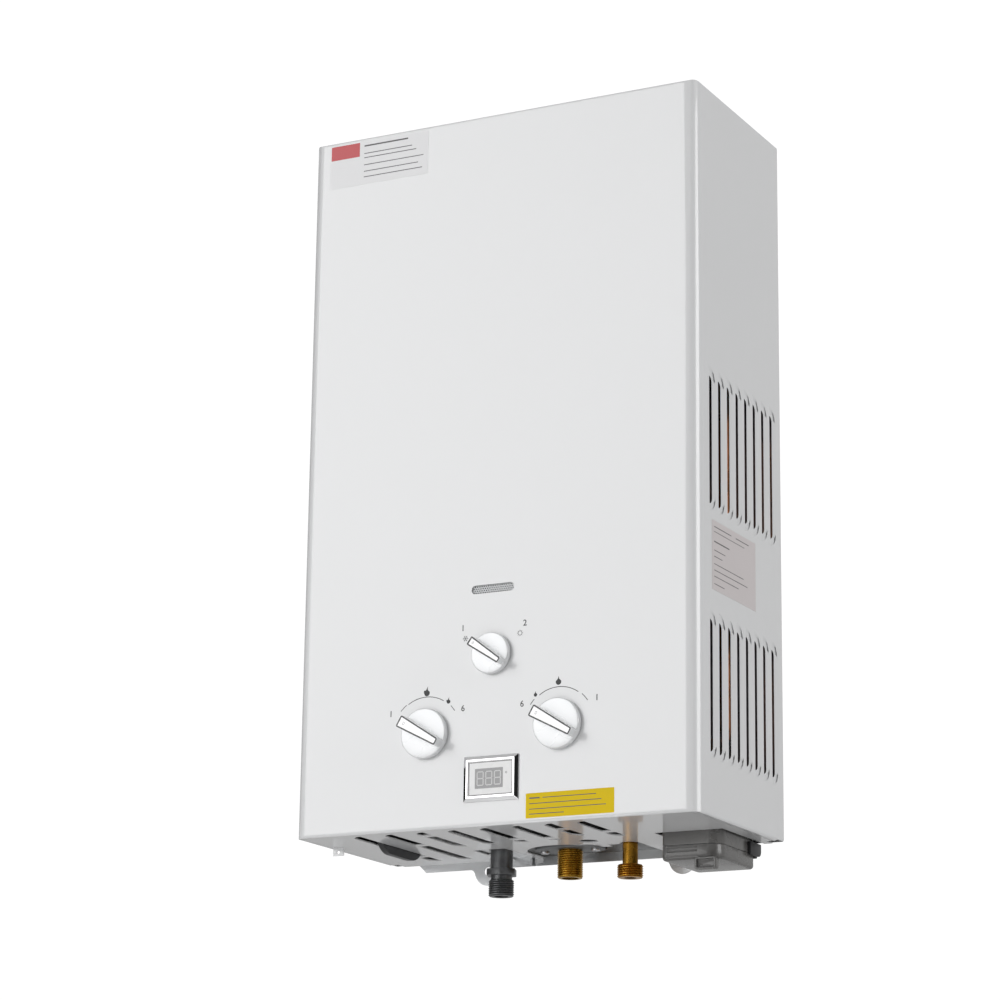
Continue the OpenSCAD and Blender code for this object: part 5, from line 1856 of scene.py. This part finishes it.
@dataclass
class HotThread(Thread):
    """The brass hot water outlet: a threaded end on a plain pipe."""

    pipe: float = 6.2

    def build(self) -> Iterable[Obj]:
        """Builds the outlet, which stands for the solid one.

        Returns:
            The pieces.
        """
        thread = self.cut()
        pipe = Bench.tube("hot_stem", self.pipe, self.bore, self.mouth + self.length - 0.5, 29.5)
        made = self.fit("hot_nipple", [thread, pipe], HOT_BRASS)
        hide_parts("hot_outlet")
        return (made,)


# ------------------------------------------------------------------ studio


@dataclass
class Studio:
    """Camera, lights and floor."""

    eye: Triple = (1.1406, -2.3545, -0.3988)
    yaw: float = 0.47925
    pitch: float = 0.26219
    roll: float = 0.013402
    lens: float = 114.71
    sensor: float = 36.0
    floor: float = -0.9
    lights: tuple[tuple[str, Triple, float, float], ...] = (
        ("key", (-1.35, -2.6, 1.05), 2.0, 31.0), ("fill", (2.8, -0.2, 0.9), 1.4, 24.0),
        ("under", (-0.3, -1.5, -0.85), 1.2, 7.0),
    )
    ambient: float = 0.5
    backdrop: float = 1.05
    flags: tuple[Triple, ...] = ((0.576, -0.776, 0.259), (-0.965, 0.024, 0.259))
    flag_edge: Pair = (0.88, 0.92)
    flag_shade: float = 0.03
    aim: Triple = (0.0, -0.1, 0.3)

    def build(self) -> None:
        """Sets up the whole studio.
        """
        self._camera()
        self._floor()
        for name, spot, size, power in self.lights:
            self._light(name, spot, size, power)
        self._world()
        bpy.context.scene.view_settings.view_transform = "Standard"

    def _camera(self) -> None:
        """Puts the camera where the photograph was taken."""
        cy, sy, cp, sp = math.cos(self.yaw), math.sin(self.yaw), math.cos(self.pitch), math.sin(self.pitch)
        forward = Vector((-sy * cp, cy * cp, sp))
        right = forward.cross(Vector((0, 0, 1))).normalized()
        up = right.cross(forward)
        across = math.cos(self.roll) * right + math.sin(self.roll) * up
        top = -math.sin(self.roll) * right + math.cos(self.roll) * up
        data = bpy.data.cameras.new("camera")
        data.lens = self.lens
        data.sensor_width = self.sensor
        camera = bpy.data.objects.new("camera", data)
        axes = Matrix((across, top, -forward)).transposed().to_4x4()
        camera.matrix_world = Matrix.Translation(Vector(self.eye)) @ axes
        bpy.context.collection.objects.link(camera)
        bpy.context.scene.camera = camera

    def _floor(self) -> None:
        """Lays a pale floor well below the heater."""
        Bench.clear()
        bpy.ops.mesh.primitive_plane_add(size=12, location=(0, 0, self.floor))
        obj = Bench.named("studio_floor")
        floor = Finish("studio_pale", (0.8, 0.8, 0.8), rough=0.6, size=8, blotch=400, bump=0.02, shade=0.99)
        dress(obj, floor)

    def _light(self, name: str, spot: Numbers, size: float, power: float) -> None:
        """Hangs a soft square light that points at the heater.

        Args:
            name: the light's name.
            spot: its place.
            size: its side.
            power: its power, in watts.
        """
        data = bpy.data.lights.new(name, "AREA")
        data.energy = power
        data.size = size
        obj = bpy.data.objects.new(name, data)
        obj.location = spot
        obj.rotation_euler = (Vector(self.aim) - Vector(spot)).to_track_quat("-Z", "Y").to_euler()
        bpy.context.collection.objects.link(obj)

    def _world(self) -> None:
        """Makes the pale surroundings, with two dark flags at the sides, and white where the camera looks past."""
        world = bpy.data.worlds.new("pale")
        bpy.context.scene.world = world
        world.use_nodes = True
        graph = Graph(world.node_tree)
        place = graph.add("TexCoord").outputs["Object"]
        shades = []
        for aim in self.flags:
            near = graph.add("VectorMath", {0: place, 1: Vector(aim).normalized()}, operation="DOT_PRODUCT")
            shades.append(graph.span(near.outputs["Value"], *self.flag_edge, 1.0, self.flag_shade))
        both = graph.add("Math", dict(enumerate(shades)), operation="MULTIPLY")
        strength = graph.add("Math", {0: both.outputs[0], 1: self.ambient}, operation="MULTIPLY")
        white = (1, 1, 1, 1)
        lit = graph.nodes["Background"]
        graph.fill(lit, {"Color": white, "Strength": strength.outputs[0]})
        seen = graph.add("Background", {"Color": white, "Strength": self.backdrop})
        looks = graph.add("LightPath").outputs["Is Camera Ray"]
        mix = graph.add("MixShader", {0: looks, 1: lit.outputs[0], 2: seen.outputs[0]})
        graph.fill(graph.nodes["World Output"], {"Surface": mix.outputs[0]})


def main() -> None:
    """Builds the studio and every sub-assembly, and reports each piece."""
    logging.basicConfig(level=logging.INFO, format="%(message)s")
    Studio().build()
    assemblies: list[Assembly] = [
        Chassis(),
        Knob("gas", -58.0, 76.3, 20.0, 5.35, 3.3, 150.0),
        Knob("water", 59.3, 75.7, 20.0, 5.35, 3.3, 150.0),
        Knob("season", 0.5, 136.5, 16.5, 4.2, 2.6, 145.0, corner=1.2),
        DialPrint(),
        Stickers(),
        Underside(),
        FlueCollar(),
        FootScrews(),
        BatteryBox(),
        Display(),
        GasNipple("gas_thread", -53.0, -46.0, -37.0, 13.5, 6.0),
        ColdThread("cold_thread", 5.2, -37.0, -24.0, 22.8, 7.0),
        HotThread("hot_thread", 63.2, -46.0, -28.0, 10.5, 5.0),
    ]
    for assembly in assemblies:
        for piece in assembly.build():
            LOG.info("%s: %s rides on %s", type(assembly).__name__, piece.name, body_of(piece))


if __name__ == "__main__":
    main()
